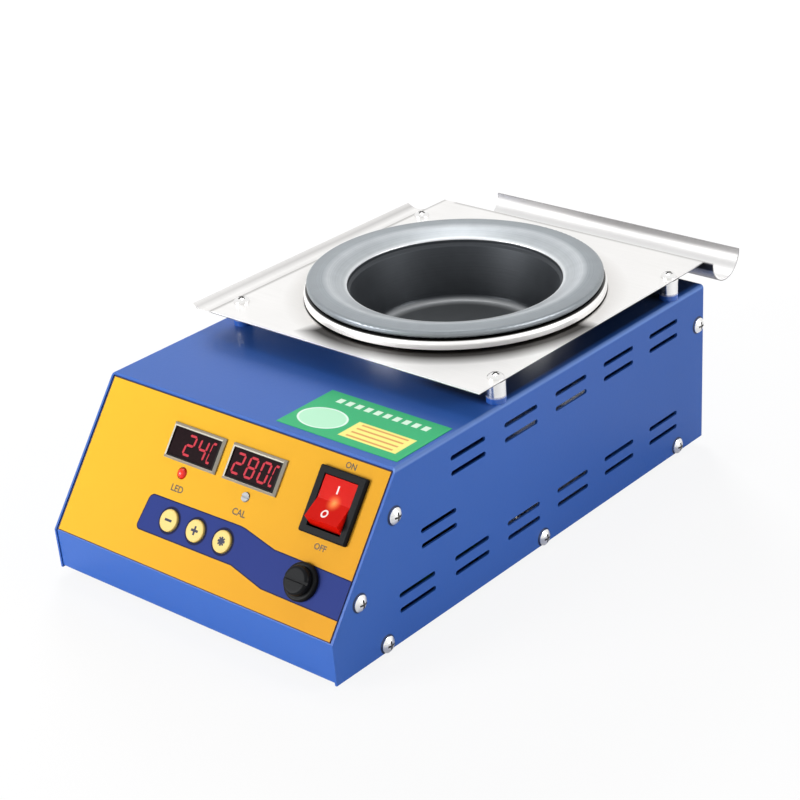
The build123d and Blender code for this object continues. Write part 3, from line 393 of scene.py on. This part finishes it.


# Front panel film: printed polyester on the sloped face, yellow with a waved blue band.
# A thin dark line is printed round the band and a dark ring round each key; the dark line round
# the film's border is painted shade of its seam.
# Its pattern is laid out across (x) and up the slope (rise) from the panel's foot.
panel_foot = np.array([0.0, -146.4, 22.335])
panel_up = np.array([0.0, 0.59568, 0.80322])
panel_out = np.array([0.0, -0.80322, 0.59568])
print_yellow = (0.82, 0.475, 0.030)
orange_shade = (0.72, 0.335, 0.024)
print_blue = (0.024, 0.042, 0.205)
dark_print_and_seam_shade = (0.010, 0.012, 0.05)
print_soft = 0.12
fade_left = -82
fade_width = 165
fade_top = 40
fade_rise = 73
film_half = 80.8
film_low = 0.4
film_high = 72.9
film_border = 0.42
band_top = [(-60, 29.7), (17, 30.6), (20.1, 30.3), (38.4, 26.5), (54.3, 26.4), (82.4, 25.9)]
band_foot = [(-60, 14.1), (19.4, 14.7), (38.5, 10.3), (82.4, 10.0)]
band_start = -36.6
band_middle = 22
band_lean = 0.12
band_round = 2.2
band_line = 0.5
button_spots = [(-20.7, 22.1), (-4.9, 22.1), (10.9, 22.1)]
button_ring = 6.1


def panel_axes(place):
    """Across the panel and up its slope, in millimetres, for a position on the part."""
    x, y, z = place.split()
    rise = (y - panel_foot[1]) * panel_up[1] + (z - panel_foot[2]) * panel_up[2]
    return x, rise


def bent_line(x, points):
    """A line through points, as a wire: each bend adds a slope that starts at its own x."""
    slopes = [(b[1] - a[1]) / (b[0] - a[0]) for a, b in zip(points, points[1:])]
    line = (x - points[0][0]) * slopes[0] + points[0][1]
    for (bend, _), before, after in zip(points[1:], slopes, slopes[1:]):
        line = line + (x - bend).most(0) * (after - before)
    return line


film, film_shader, film_place = start_finish("panel_film", Specular_IOR_Level=0.06)
film_x, film_rise = panel_axes(film_place)
film_grain = film_place.noise(1500.0, 2.0)
# Painted shade with uneven print tone: the film turns to a darker orange to the right and down.
film_rightward = (film_x - fade_left) / fade_width
film_downward = (fade_top - film_rise) / fade_rise
film_shade_fade = film_rightward * 0.8 + film_downward * 0.3 + film_place.noise(14.0) * 0.25
film_colour = film_shade_fade.clip().tint(print_yellow, orange_shade)
band_end = film_x - band_start - (film_rise - band_middle) * band_lean
below_top = bent_line(film_x, band_top) - film_rise
above_foot = film_rise - bent_line(film_x, band_foot)
corner_end = (band_round - band_end).most(0)
corner_edge = (band_round - below_top.least(above_foot)).most(0)
band_depth = band_round - (corner_end * corner_end + corner_edge * corner_edge).math("SQRT")
film_colour = band_depth.over(-band_line, print_soft).tint(film_colour, dark_print_and_seam_shade)
film_colour = band_depth.over(0, print_soft).tint(film_colour, print_blue)
for spot in button_spots:
    in_ring = spot_distance(film_x, film_rise, spot).under(button_ring, 0.1)
    film_colour = in_ring.tint(film_colour, dark_print_and_seam_shade)
# Painted shade: a dark line round the film's border, for its seam.
film_seam_shade = film_x.size().over(film_half - film_border)
film_seam_shade = film_seam_shade.most(film_rise.under(film_low + film_border))
film_seam_shade = film_seam_shade.most(film_rise.over(film_high - film_border))
wire_up(
    film_shader,
    Base_Color=(film_seam_shade * 0.9).tint(film_colour, dark_print_and_seam_shade),
    Roughness=film_grain * 0.12 + 0.42,
    Normal=film_grain.bump(0.006),
)
dress(film, "panel_overlay")


# Words on the film: LED, CAL, ON and OFF, silk-screened in a dark brown ink.
# Each row below gives a word, its place across the panel and up it, and its height.
words = [
    ("LED", -22.9, 35.9, 3.0), ("CAL", 13.8, 35.8, 3.0),
    ("ON", 60.7, 69.5, 2.7), ("OFF", 60.0, 34.4, 2.7),
]
print_height = 0.33
letter_weight = 0.022
ink, ink_shader, ink_place = start_finish("dark_ink")
ink_grain = ink_place.noise(2200.0, 2.0)
wire_up(
    ink_shader,
    Base_Color=ink_grain.tint((0.10, 0.06, 0.012), (0.055, 0.035, 0.01)),
    Roughness=ink_grain * 0.2 + 0.42,
)


def lay_on_panel(flat):
    """Positions on the part of points given across the panel, up it and out of it."""
    across, rise, height = flat.T[:, :, None]
    return panel_foot + across * [1, 0, 0] + rise * panel_up + height * panel_out


def word_shape(letters, cap):
    """Flat outline letters as points and faces, centred, cap millimetres high."""
    curve = bpy.data.curves.new(letters, "FONT")
    curve.body = letters
    curve.resolution_u = 3
    curve.offset = letter_weight
    written = bpy.data.objects.new(letters, curve)
    mesh = bpy.data.meshes.new_from_object(written)
    points = np.empty(len(mesh.vertices) * 3)
    mesh.vertices.foreach_get("co", points)
    points = points.reshape(-1, 3)
    points -= (points.max(0) + points.min(0)) / 2
    faces = [tuple(face.vertices) for face in mesh.polygons]
    scale = cap / (points[:, 1].max() - points[:, 1].min())
    bpy.data.objects.remove(written)
    return points * scale, faces


for letters, across, rise, cap in words:
    points, faces = word_shape(letters, cap)
    flat = points + [across, rise, print_height]
    word_name = f"word_{letters.lower()}"
    add_piece(word_name, lay_on_panel(flat), faces, ink, "housing")


# Display frames: two silver bezels pressed over dark filters, satin with a faint sparkle.
# A black line is printed round the inside of each, wider to the right and below.
window_middles = (-20.5, 14.5)
window_half = 13.9
window_rise = 54.65
window_half_rise = 6.65
bezel, bezel_shader, bezel_place = start_finish("bezel_silver", Specular_IOR_Level=0.10)
bezel_grain = bezel_place.noise(1900.0, 2.0)
bezel_x, bezel_rise = panel_axes(bezel_place)
in_left, in_right = (bezel_x.near(middle, window_half, 0.1) for middle in window_middles)
in_window = in_left.most(in_right) * bezel_rise.near(window_rise, window_half_rise, 0.1)
bezel_colour = bezel_grain.tint((0.29, 0.275, 0.23), (0.38, 0.36, 0.31))
wire_up(
    bezel_shader,
    Base_Color=in_window.tint(bezel_colour, (0.010, 0.008, 0.008)),
    Metallic=0.85 - in_window * 0.85,
    Roughness=bezel_grain * 0.2 + 0.42,
    Normal=bezel_grain.bump(0.01),
)
dress(bezel, "left_display_bezel", "right_display_bezel")
lens, lens_shader, lens_place = start_finish("display_filter", Specular_IOR_Level=0.04)
lens_dust = lens_place.noise(700.0, 4.0)
wire_up(
    lens_shader,
    Base_Color=lens_dust.tint((0.006, 0.002, 0.003), (0.016, 0.006, 0.008)),
    Roughness=lens_dust * 0.1 + 0.25,
)
dress(lens, "left_display", "right_display")


# Glowing digits behind the filters: rows of four places, each with seven bars and a lean.
# The left row's first place is dark, and the unit at the right of each row is narrow.
digit_width = 4.2
digit_rise = 8.6
digit_pitch = 7.4
digit_lean = 0.10
unit_squeeze = 0.48
unit_shift = 0.9
bar_half = 0.52
bar_gap = 0.14
display_face = 1.53
bars_of = {"2": "abged", "4": "fgbc", "8": "abcdefg", "0": "abcdef", "C": "afed", " ": ""}
readings = [("left_digits", " 24C", (-19.8, 54.9)), ("right_digits", "280C", (16.5, 54.9))]
glow, glow_shader, glow_place = start_finish(
    "lit_bar", Emission_Strength=1.0, Roughness=0.5, Specular_IOR_Level=0.0,
)
glow_core = glow_place.noise(1600.0, 1.0)
wire_up(
    glow_shader,
    Base_Color=glow_core.tint((0.20, 0.0, 0.01), (0.30, 0.01, 0.02)),
    Emission_Color=glow_core.tint((0.36, 0.052, 0.064), (0.46, 0.084, 0.096)),
)


def bar_points(name):
    """One six-cornered bar round the digit's centre: a, g and d lie level, the others stand."""
    ends = {
        "a": ((-1, 2), (1, 2)), "g": ((-1, 0), (1, 0)), "d": ((-1, -2), (1, -2)),
        "f": ((-1, 0), (-1, 2)), "b": ((1, 0), (1, 2)),
        "e": ((-1, -2), (-1, 0)), "c": ((1, -2), (1, 0)),
    }[name]
    start, stop = np.array(ends) * [digit_width / 2, digit_rise / 4]
    along = (stop - start) / np.linalg.norm(stop - start)
    start, stop = start + along * bar_gap, stop - along * bar_gap
    side = np.array([-along[1], along[0]]) * bar_half
    tip = along * bar_half
    right_side = [start, start + tip - side, stop - tip - side]
    left_side = [stop, stop - tip + side, start + tip + side]
    return np.array(right_side + left_side)


def digits_shape(text, centre):
    """All lit bars of a row of digits, as points on the panel and six-sided faces."""
    points, faces = [], []
    for place, letter in enumerate(text):
        middle = centre[0] + (place - (len(text) - 1) / 2) * digit_pitch
        squeeze = unit_squeeze if letter == "C" else 1
        for name in bars_of[letter]:
            bar = bar_points(name) * [squeeze, 1]
            across = bar[:, 0] + (squeeze - 1) * digit_width * unit_shift
            across = across + bar[:, 1] * digit_lean + middle
            rise = bar[:, 1] + centre[1]
            faces.append(np.arange(6) + 6 * len(faces))
            points.append(np.column_stack([across, rise, np.full(6, display_face)]))
    return np.vstack(points), faces


for name, text, centre in readings:
    points, faces = digits_shape(text, centre)
    add_piece(name, lay_on_panel(points), faces, glow, "housing")


# Push buttons: pale yellow moulded discs, each with its mark printed on top.
# The marks are a minus, a plus and a star of four strokes, all cut from the same bars.
key_cream = (0.80, 0.62, 0.20)
key_shade_cream = (0.70, 0.50, 0.14)
key_ink = (0.012, 0.014, 0.045)
mark_half = 2.0
mark_thick = 0.55
star_half = 2.1
star_thick = 0.6
key_shade_from = 4.3
for name, spot, mark in zip(("minus_button", "plus_button", "set_button"), button_spots, "-+*"):
    key, key_shader, key_place = start_finish(name, Specular_IOR_Level=0.25)
    key_x, key_rise = panel_axes(key_place)
    key_reach = spot_distance(key_x, key_rise, spot)
    across, up = (key_x - spot[0]).size(), (key_rise - spot[1]).size()
    level = across.under(mark_half, print_soft) * up.under(mark_thick, print_soft)
    upright = across.under(mark_thick, print_soft) * up.under(mark_half, print_soft)
    slanted = (across - up).size().under(star_thick, print_soft)
    drawn = level if mark == "-" else level.most(upright)
    if mark == "*":
        drawn = drawn.most(slanted) * key_reach.under(star_half, print_soft)
    key_grain = key_place.noise(1300.0, 2.0)
    # Painted shade: each key turns darker towards its edge.
    key_rim_shade = key_reach.over(key_shade_from, 0.9) * 0.6 + key_grain * 0.3
    wire_up(
        key_shader,
        Base_Color=drawn.tint(key_rim_shade.tint(key_cream, key_shade_cream), key_ink),
        Roughness=key_grain * 0.15 + 0.34,
        Normal=key_grain.bump(0.008),
    )
    dress(key, name)


# Indicator lamp: a clear red epoxy dome that glows at its core.
# It stands through the panel below the left display.
dome_centre = (-23.4, 42.8)
dome_radius = 2.3
dome, dome_shader, dome_place = start_finish(
    "lamp_red", Coat_Weight=0.12, Emission_Strength=1.0,
)
dome_x, dome_rise = panel_axes(dome_place)
dome_core = spot_distance(dome_x, dome_rise, dome_centre).fade(dome_radius)
dome_speck = dome_place.noise(1800.0, 2.0)
dome_depth = (dome_core + dome_speck * 0.1).clip()
wire_up(
    dome_shader,
    Base_Color=dome_depth.tint((0.60, 0.004, 0.002), (0.80, 0.02, 0.005)),
    Emission_Color=dome_core.tint((0.10, 0.0, 0.0), (0.60, 0.015, 0.0)),
    Roughness=dome_speck * 0.1 + 0.12,
)
dress(dome, "indicator_lamp")


# Calibration trimmer: a grey moulded screw with a slot, in its own small body.
# It stands on the panel's board, behind a small hole under the right display.
trim_grey, trim_shader, trim_place = start_finish("trimmer_grey")
trim_grain = trim_place.noise(1700.0, 3.0)
wire_up(
    trim_shader,
    Base_Color=trim_grain.tint((0.30, 0.31, 0.32), (0.52, 0.53, 0.53)),
    Roughness=trim_grain * 0.2 + 0.4,
    Normal=trim_grain.bump(0.02),
)
dress(trim_grey, "trimmer_base", "trimmer_rotor")


# Black moulded parts: switch frame, fuse holder, nut and cap, mains inlet, relay and small cases.
# All are injection moulded nylon with a fine spark-eroded grain.
moulding, moulding_shader, moulding_place = start_finish("black_moulding", Specular_IOR_Level=0.08)
moulding_grain = moulding_place.noise(1100.0, 4.0)
moulding_cloud = moulding_place.noise(60.0, 2.0)
moulding_shade = moulding_grain * 0.5 + moulding_cloud * 0.5
wire_up(
    moulding_shader,
    Base_Color=moulding_shade.tint((0.003, 0.0035, 0.004), (0.012, 0.013, 0.015)),
    Roughness=moulding_grain * 0.2 + 0.30,
    Normal=moulding_grain.bump(0.03),
)
dress(
    moulding, "switch_body", "fuse_holder", "fuse_nut", "fuse_cap", "mains_inlet", "relay",
    "triac", "tact_switches",
)


# Rocker: translucent red with a neon lamp behind its middle.
# Its stroke above and its ring below are printed white.
neon_spot = (60.2, 53.0)
neon_reach = 4.2
stroke_spot = (59.7, 58.5)
stroke_half = (0.4, 1.7)
ring_spot = (59.2, 47.8)
ring_radius = 1.35
ring_thick = 0.36
rocker, rocker_shader, rocker_place = start_finish(
    "rocker_red", Specular_IOR_Level=0.08, Coat_Weight=0.05, Emission_Strength=1.0,
)
rocker_x, rocker_rise = panel_axes(rocker_place)
neon = spot_distance(rocker_x, rocker_rise, neon_spot).fade(neon_reach)
stroke = rocker_x.near(stroke_spot[0], stroke_half[0], 0.1)
stroke = stroke * rocker_rise.near(stroke_spot[1], stroke_half[1], 0.1)
ring = spot_distance(rocker_x, rocker_rise, ring_spot).near(ring_radius, ring_thick, 0.1)
rocker_flow = rocker_place.noise(180.0, 3.0)
rocker_colour = rocker_flow.tint((0.52, 0.005, 0.002), (0.64, 0.010, 0.004))
wire_up(
    rocker_shader,
    Base_Color=stroke.most(ring).tint(rocker_colour, (0.9, 0.82, 0.8)),
    Emission_Color=(neon * neon).tint((0.06, 0.0, 0.0), (1.0, 0.46, 0.12)),
    Roughness=rocker_flow * 0.12 + 0.14,
    Normal=rocker_place.noise(900.0, 2.0).bump(0.01),
)
dress(rocker, "switch_rocker")


# Top plate: 0.8 mm polished stainless, brushed along its length, with a sagging drip flange at
# the left and a gutter rolled at the back. A faint heat tint lies round the pot. Painted on the
# plate are a shadow in a crescent before the pot, soft shadow round it, shade in the sag, the
# folds, outside the gutter and on the underside, a paler gutter floor and a grey reflection on the
# lip.
pot_centre = (3.8, 34.1)
plate_top = 93.3
plate_rear = 124.1
flange_fold = -75.0
flange_sag = -83.8
gutter_axis = (135.1, plate_top)
gutter_wall = 11.4
lip_y = 136
lip_low = 82.5
lip_height = 8.5
front_x = 0.574
front_y = 0.819
crescent_reach = 83.5
crescent_front = 45
crescent_soft = 9
ring_shadow = 70.2
tint_and_shadow_reach = 80
steel_dark = (0.80, 0.79, 0.775)
steel_light = (0.92, 0.91, 0.90)
plate, plate_shader, plate_place = start_finish("polished_stainless", Metallic=1.0)
plate_brush = plate_place.noise(900.0, 3.0, (0.04, 1, 1))
plate_smear = plate_place.noise(26.0, 4.0)
plate_x, plate_y, plate_z = plate_place.split()
pot_reach = spot_distance(plate_x, plate_y, pot_centre)
pot_front = (plate_x - pot_centre[0]) * front_x - (plate_y - pot_centre[1]) * front_y
# Painted shadow: a dark crescent before the pot, and a thin dark line round the ring.
crescent_side_cut = ((crescent_front - pot_front) / crescent_soft).clip() * 1.5
crescent_shadow = ((crescent_reach - pot_reach) / crescent_soft - crescent_side_cut).clip()
crescent_shadow = crescent_shadow.most(pot_reach.under(ring_shadow, 0.4))
# Partly a heat tint and partly painted soft shadow: a brown-grey haze round the pot.
heat_tint_and_shadow = ((tint_and_shadow_reach - pot_reach) / crescent_soft).clip() * (plate_smear + 0.4)
# Painted shade: a darker band along the middle of the sagging flange.
sag_shade = (plate_x - flange_sag).size().fade(3.4)
# Painted shade: dark lines along the flange's fold and the gutter's crease.
fold_shade = (plate_x - flange_fold).size().fade(1.9)
gutter_crease_shade = (plate_y - plate_rear).size().fade(2.3) * plate_x.over(-68, 2)
# Painted reflection: the gutter's far lip turns grey towards its top.
lip_reflection = ((plate_z - lip_low) / lip_height).clip() * plate_y.over(lip_y, 4)
gutter_reach = spot_distance(plate_y, plate_z, gutter_axis)
# Painted light: the gutter's inner surface is paler than the plate.
gutter_inside_light = plate_y.over(126.5, 2) * plate_z.under(90, 3)
gutter_inside_light = gutter_inside_light * gutter_reach.under(gutter_wall, 0.2)
# Painted shade: the gutter's outer surface darkens downwards.
gutter_outside_shade = plate_y.over(124.6, 0.5) * gutter_reach.over(gutter_wall, 0.2)
gutter_outside_shade = gutter_outside_shade * ((93 - plate_z) / 9).clip()
# Painted shade: the plate's underside is dark.
underside_shade = plate_z.under(92.8, 0.2) * plate_y.under(124.0, 0.2) * plate_x.over(-74.5, 0.2)
plate_colour = (plate_brush * 0.5 + plate_smear * 0.5).tint(steel_dark, steel_light)
for mask, colour in (
    (gutter_inside_light, (0.98, 0.975, 0.97)),
    (lip_reflection, (0.31, 0.305, 0.305)),
    (gutter_outside_shade, (0.20, 0.19, 0.19)),
    ((heat_tint_and_shadow * 0.25).clip(), (0.34, 0.30, 0.26)),
    (sag_shade * 0.42, (0.16, 0.15, 0.15)),
    (fold_shade.most(gutter_crease_shade) * 0.55, (0.16, 0.15, 0.14)),
    (crescent_shadow, (0.018, 0.015, 0.013)),
    (underside_shade, (0.10, 0.10, 0.105)),
):
    plate_colour = mask.tint(plate_colour, colour)
wire_up(
    plate_shader,
    Base_Color=plate_colour,
    Roughness=plate_brush * 0.10 + plate_smear * 0.12 + 0.32,
    Normal=plate_brush.bump(0.006),
)
dress(plate, "top_plate")


# Pot: a spun and coated steel bowl with a broad rim, turned marks running round it.
# The coating is grey and satin on the rim, darker and heat stained inside.
# Its tones run from the middle of the floor to the rim's edge, as shares of that radius.
rim_edge = 69
wall_start = 44
wall_top = 98.3
rings_across = 1.9
rings_down = 1.7
pot_dark = (0.045, 0.050, 0.057)
# The bright stops at the floor's edge and at the mouth's lip are painted highlights.
pot_tones_and_highlights = [
    (0.0, (0.15, 0.16, 0.17, 1)), (0.53, (0.17, 0.18, 0.19, 1)),
    (0.585, (0.70, 0.72, 0.74, 1)), (0.62, (*pot_dark, 1)),
    (0.70, (0.050, 0.056, 0.064, 1)), (0.7225, (0.85, 0.87, 0.89, 1)),
    (0.745, (0.46, 0.49, 0.51, 1)), (0.80, (0.42, 0.45, 0.475, 1)),
    (0.85, (0.50, 0.53, 0.555, 1)), (0.89, (0.30, 0.33, 0.355, 1)),
    (1.0, (0.26, 0.285, 0.305, 1)),
]
pot, pot_shader, pot_place = start_finish("pot_coating", Metallic=0.6)
pot_x, pot_y, pot_z = pot_place.split()
pot_radius = spot_distance(pot_x, pot_y, pot_centre)
ring_place = pot_radius * rings_across + pot_z * rings_down
ring_inputs = {"W": ring_place, "Scale": 1.0, "Detail": 3.0}
pot_rings = pot_radius.node("ShaderNodeTexNoise", ring_inputs, {"noise_dimensions": "1D"})
pot_mottle = pot_place.noise(160.0, 4.0)
pot_stain = pot_rings * 0.6 + pot_mottle * 0.4
pot_wall = pot_z.under(wall_top, 0.5) * pot_radius.over(wall_start, 2)
pot_body = pot_radius.node("ShaderNodeValToRGB", {0: pot_radius / rim_edge}, {"stops": pot_tones_and_highlights})
pot_body = pot_wall.tint(pot_body, pot_dark)
pot_light = pot_stain.tint((0.25, 0.25, 0.25), (0.78, 0.78, 0.78))
pot_colour = pot_stain.node(
    "ShaderNodeMix", {0: 0.55, 6: pot_body, 7: pot_light},
    {"data_type": "RGBA", "blend_type": "OVERLAY"}, 2,
)
wire_up(
    pot_shader,
    Base_Color=pot_colour,
    Roughness=pot_stain * 0.22 + 0.26 + pot_wall * 0.14,
    Normal=(pot_rings * 0.7 + pot_mottle * 0.3).bump(0.05),
)
dress(pot, "solder_pot")


# Heater can with its outer ring, and its bracket: drawn stainless, warmed to a faint straw colour.
# The ring's outer skirt is dull, and a dark line of shade lies under the pot's rim.
skirt_low = 94.0
skirt_high = 98.0
skirt_radius = 69.3
rim_shade_low = 97.0
rim_shade_outer = 69.2
rim_shade_inner = 66
can, can_shader, can_place = start_finish("drawn_stainless")
can_x, can_y, can_z = can_place.split()
can_turn = can_place.noise(700.0, 3.0, (1, 1, 0.05))
can_heat = can_place.noise(20.0, 3.0) * 0.7 + can_turn * 0.3
can_reach = spot_distance(can_x, can_y, pot_centre)
can_skirt = can_z.over(skirt_low, 0.4) * can_z.under(skirt_high, 0.5)
can_skirt = can_skirt * can_reach.over(skirt_radius, 0.4)
can_shade = can_z.over(rim_shade_low, 0.4) * can_reach.under(rim_shade_outer, 0.3)
can_shade = can_shade * can_reach.over(rim_shade_inner, 1)
can_bright = (can_heat + can_skirt * 0.6).clip()
can_colour = can_bright.tint((0.80, 0.78, 0.75), (0.96, 0.95, 0.94))
wire_up(
    can_shader,
    Base_Color=can_shade.tint(can_colour, (0.012, 0.011, 0.010)),
    Metallic=1 - can_skirt * 0.3,
    Roughness=can_turn * 0.14 + can_skirt * 0.25 + 0.10,
    Normal=can_turn.bump(0.006),
)
dress(can, "heater_can", "can_bracket", "temperature_probe")


# Label on the roof: printed film in green, with a pale oval, a yellow field and white dashes.
# Its pattern is laid out from the left (x) and from the front edge of the whole part (back).
front_edge = -146.9
oval_centre = (27.6, 61.6)
oval_half = (12.2, 9.0)
field_centre = (58.6, 60.5)
field_half = (15.5, 7.0)
rules_half = 12.5
rule_pitch = 3.4
dashes_centre = (47, 78.0)
dashes_half = (26.2, 1.9)
dash_pitch = 5.2
label_soft = 0.3
label, label_shader, label_place = start_finish("label_green", Specular_IOR_Level=0.25)
label_x, label_y, _ = label_place.split()
label_back = label_y - front_edge
oval_x = (label_x - oval_centre[0]) / oval_half[0]
oval_back = (label_back - oval_centre[1]) / oval_half[1]
oval = oval_x * oval_x + oval_back * oval_back
field = label_x.near(field_centre[0], field_half[0], label_soft)
field = field * label_back.near(field_centre[1], field_half[1], label_soft)
rules = (label_back - field_centre[1]).ripple(rule_pitch).under(0.16, 0.06)
rules = rules * label_x.near(field_centre[0], rules_half, label_soft)
dashes = label_x.ripple(dash_pitch).under(0.3, 0.06)
dashes = dashes * label_back.near(dashes_centre[1], dashes_half[1], label_soft)
dashes = dashes * label_x.near(dashes_centre[0], dashes_half[0], label_soft)
label_grain = label_place.noise(1500.0, 2.0)
label_colour = label_grain.tint((0.016, 0.40, 0.14), (0.026, 0.48, 0.19))
for mask, colour in (
    (oval.under(1, 0.05), (0.80, 0.97, 0.86)),
    (oval.under(0.84, 0.05), (0.50, 0.88, 0.62)),
    (field, (0.95, 0.88, 0.25)),
    (rules * field, (0.80, 0.36, 0.08)),
    (dashes, (0.75, 0.95, 0.78)),
):
    label_colour = mask.tint(label_colour, colour)
wire_up(
    label_shader,
    Base_Color=label_colour,
    Roughness=label_grain * 0.15 + 0.3,
    Normal=label_grain.bump(0.006),
)
dress(label, "roof_label")


# Brass: inlet pins, switch and fuse tags, board pillars, heater terminals and the earth stud.
# All are turned or stamped and left bare, so they have tarnished a little.
brass, brass_shader, brass_place = start_finish("brass_parts", Metallic=1.0)
brass_tarnish = brass_place.noise(300.0, 4.0)
wire_up(
    brass_shader,
    Base_Color=brass_tarnish.tint((0.80, 0.60, 0.24), (0.62, 0.45, 0.20)),
    Roughness=brass_tarnish * 0.25 + 0.15,
    Normal=brass_tarnish.bump(0.01),
)
dress(
    brass, "inlet_pins", "switch_tags", "fuse_tag", "fuse_clip", "board_posts", "panel_posts",
    "heater_terminals", "earth_stud",
)


# Fuse glass: a clear tube, slightly green at its walls.
# It lies in the clip of the fuse carrier, between two plated end caps.
glass, glass_shader, glass_place = start_finish("fuse_glass", Transmission_Weight=0.9, IOR=1.5)
glass_streak = glass_place.noise(500.0, 2.0)
wire_up(
    glass_shader,
    Base_Color=glass_streak.tint((0.90, 0.95, 0.93), (0.97, 1.0, 0.98)),
    Roughness=glass_streak * 0.05 + 0.02,
)
dress(glass, "fuse_glass")


# Circuit boards: glass epoxy with a green solder mask over fine copper tracks.
# One is behind the keys and one on pillars in the case; the tracks keep to the holes' pitch.
track_pitch = 2.54
weft_pitch = 5.08
circuit, circuit_shader, circuit_place = start_finish("board_green", Coat_Weight=0.4)
circuit_x, circuit_y, _ = circuit_place.split()
track = circuit_x.ripple(track_pitch).under(0.14, 0.04)
track = track * circuit_place.noise(90.0, 1.0).over(0.52, 0.02)
weft = circuit_y.ripple(weft_pitch).under(0.08, 0.03)
weft = weft * circuit_place.noise(70.0, 1.0).over(0.5, 0.02)
copper = track.most(weft)
wire_up(
    circuit_shader,
    Base_Color=copper.tint((0.008, 0.085, 0.030), (0.05, 0.24, 0.08)),
    Roughness=circuit_place.noise(800.0) * 0.15 + 0.25,
    Normal=copper.bump(0.05),
)
dress(circuit, "control_board", "panel_board")


# Terminal block: green moulded body with a fine grain.
# It stands on the control board.
block, block_shader, block_place = start_finish("block_green")
block_grain = block_place.noise(1000.0, 3.0)
wire_up(
    block_shader,
    Base_Color=block_grain.tint((0.02, 0.20, 0.07), (0.05, 0.32, 0.13)),
    Roughness=block_grain * 0.2 + 0.35,
    Normal=block_grain.bump(0.02),
)
dress(block, "terminal_block")


# Heat sink: black anodised extrusion with drawing lines along its fins.
# It stands on the control board and carries the triac.
sink, sink_shader, sink_place = start_finish("sink_black", Metallic=0.7)
sink_lines = sink_place.noise(1500.0, 2.0, (1, 1, 0.03))
wire_up(
    sink_shader,
    Base_Color=sink_lines.tint((0.015, 0.015, 0.017), (0.07, 0.07, 0.075)),
    Roughness=sink_lines * 0.25 + 0.3,
    Normal=sink_lines.bump(0.02),
)
dress(sink, "heat_sink")


# Capacitor: a dark plastic sleeve with a pale stripe down its front and a bare top.
# The stripe and the top take their places from the capacitor's own box.
sleeve, sleeve_shader, sleeve_place = start_finish("capacitor_sleeve")
sleeve_lo, sleeve_hi = (np.array(corner) * 1000 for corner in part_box("capacitor"))
stripe_middle = float(sleeve_lo[0] + sleeve_hi[0]) / 2
stripe_back = float(sleeve_lo[1] + 2)
cap_foot = float(sleeve_hi[2]) - 0.4
sleeve_x, sleeve_y, sleeve_z = sleeve_place.split()
stripe = sleeve_x.near(stripe_middle, 1.6, 0.2) * sleeve_y.under(stripe_back, 0.3)
sleeve_colour = stripe.tint((0.012, 0.016, 0.05), (0.5, 0.5, 0.55))
wire_up(
    sleeve_shader,
    Base_Color=sleeve_z.over(cap_foot, 0.2).tint(sleeve_colour, (0.7, 0.7, 0.7)),
    Roughness=sleeve_place.noise(500.0) * 0.2 + 0.25,
)
dress(sleeve, "capacitor")


# Transformer: varnished laminations, each sheet showing as a line, round a taped winding.
# The tape is wound on the slant, and each turn's edge shows as a darker line.
leaf_thick = 0.5
tape_wide = 4.5
tape_slant = 0.15
core, core_shader, core_place = start_finish("core_laminations", Metallic=0.6)
leaf = core_place.split()[1].ripple(leaf_thick)
core_rust = core_place.noise(120.0, 4.0)
wire_up(
    core_shader,
    Base_Color=(leaf * 0.8 + core_rust * 0.4).tint((0.05, 0.045, 0.04), (0.24, 0.21, 0.18)),
    Roughness=core_rust * 0.3 + 0.35,
    Normal=leaf.bump(0.05),
)
dress(core, "transformer_core")
tape, tape_shader, tape_place = start_finish("winding_tape", Coat_Weight=0.3)
tape_x, _, tape_z = tape_place.split()
tape_edge = (tape_z + tape_x * tape_slant).ripple(tape_wide).over(0.46, 0.03)
tape_fold = tape_place.noise(240.0, 4.0)
tape_stain = tape_edge * 0.6 + tape_fold * 0.4
wire_up(
    tape_shader,
    Base_Color=tape_stain.tint((0.72, 0.50, 0.08), (0.40, 0.25, 0.04)),
    Roughness=tape_fold * 0.2 + 0.25,
    Normal=(tape_edge + tape_fold * 0.5).bump(0.06),
)
dress(tape, "transformer_coil")


# Heater band and its insulation: a sheathed band clamped round the bowl, inside ceramic fibre.
# The band has gone patchy with heat; the fibre's cup and blanket are pale and matt.
mica, mica_shader, mica_place = start_finish("heater_sheath", Metallic=0.8)
mica_scale = mica_place.noise(140.0, 5.0)
wire_up(
    mica_shader,
    Base_Color=mica_scale.tint((0.34, 0.30, 0.26), (0.60, 0.56, 0.52)),
    Roughness=mica_scale * 0.3 + 0.3,
    Normal=mica_scale.bump(0.04),
)
dress(mica, "heater_band")
wool, wool_shader, wool_place = start_finish("ceramic_wool", Sheen_Weight=0.3)
wool_fibre = wool_place.noise(420.0, 6.0, (1, 1, 4))
wire_up(
    wool_shader,
    Base_Color=wool_fibre.tint((0.62, 0.60, 0.55), (0.88, 0.87, 0.83)),
    Roughness=wool_fibre * 0.1 + 0.85,
    Normal=wool_fibre.bump(0.5),
)
dress(wool, "insulation_cup", "insulation_blanket")
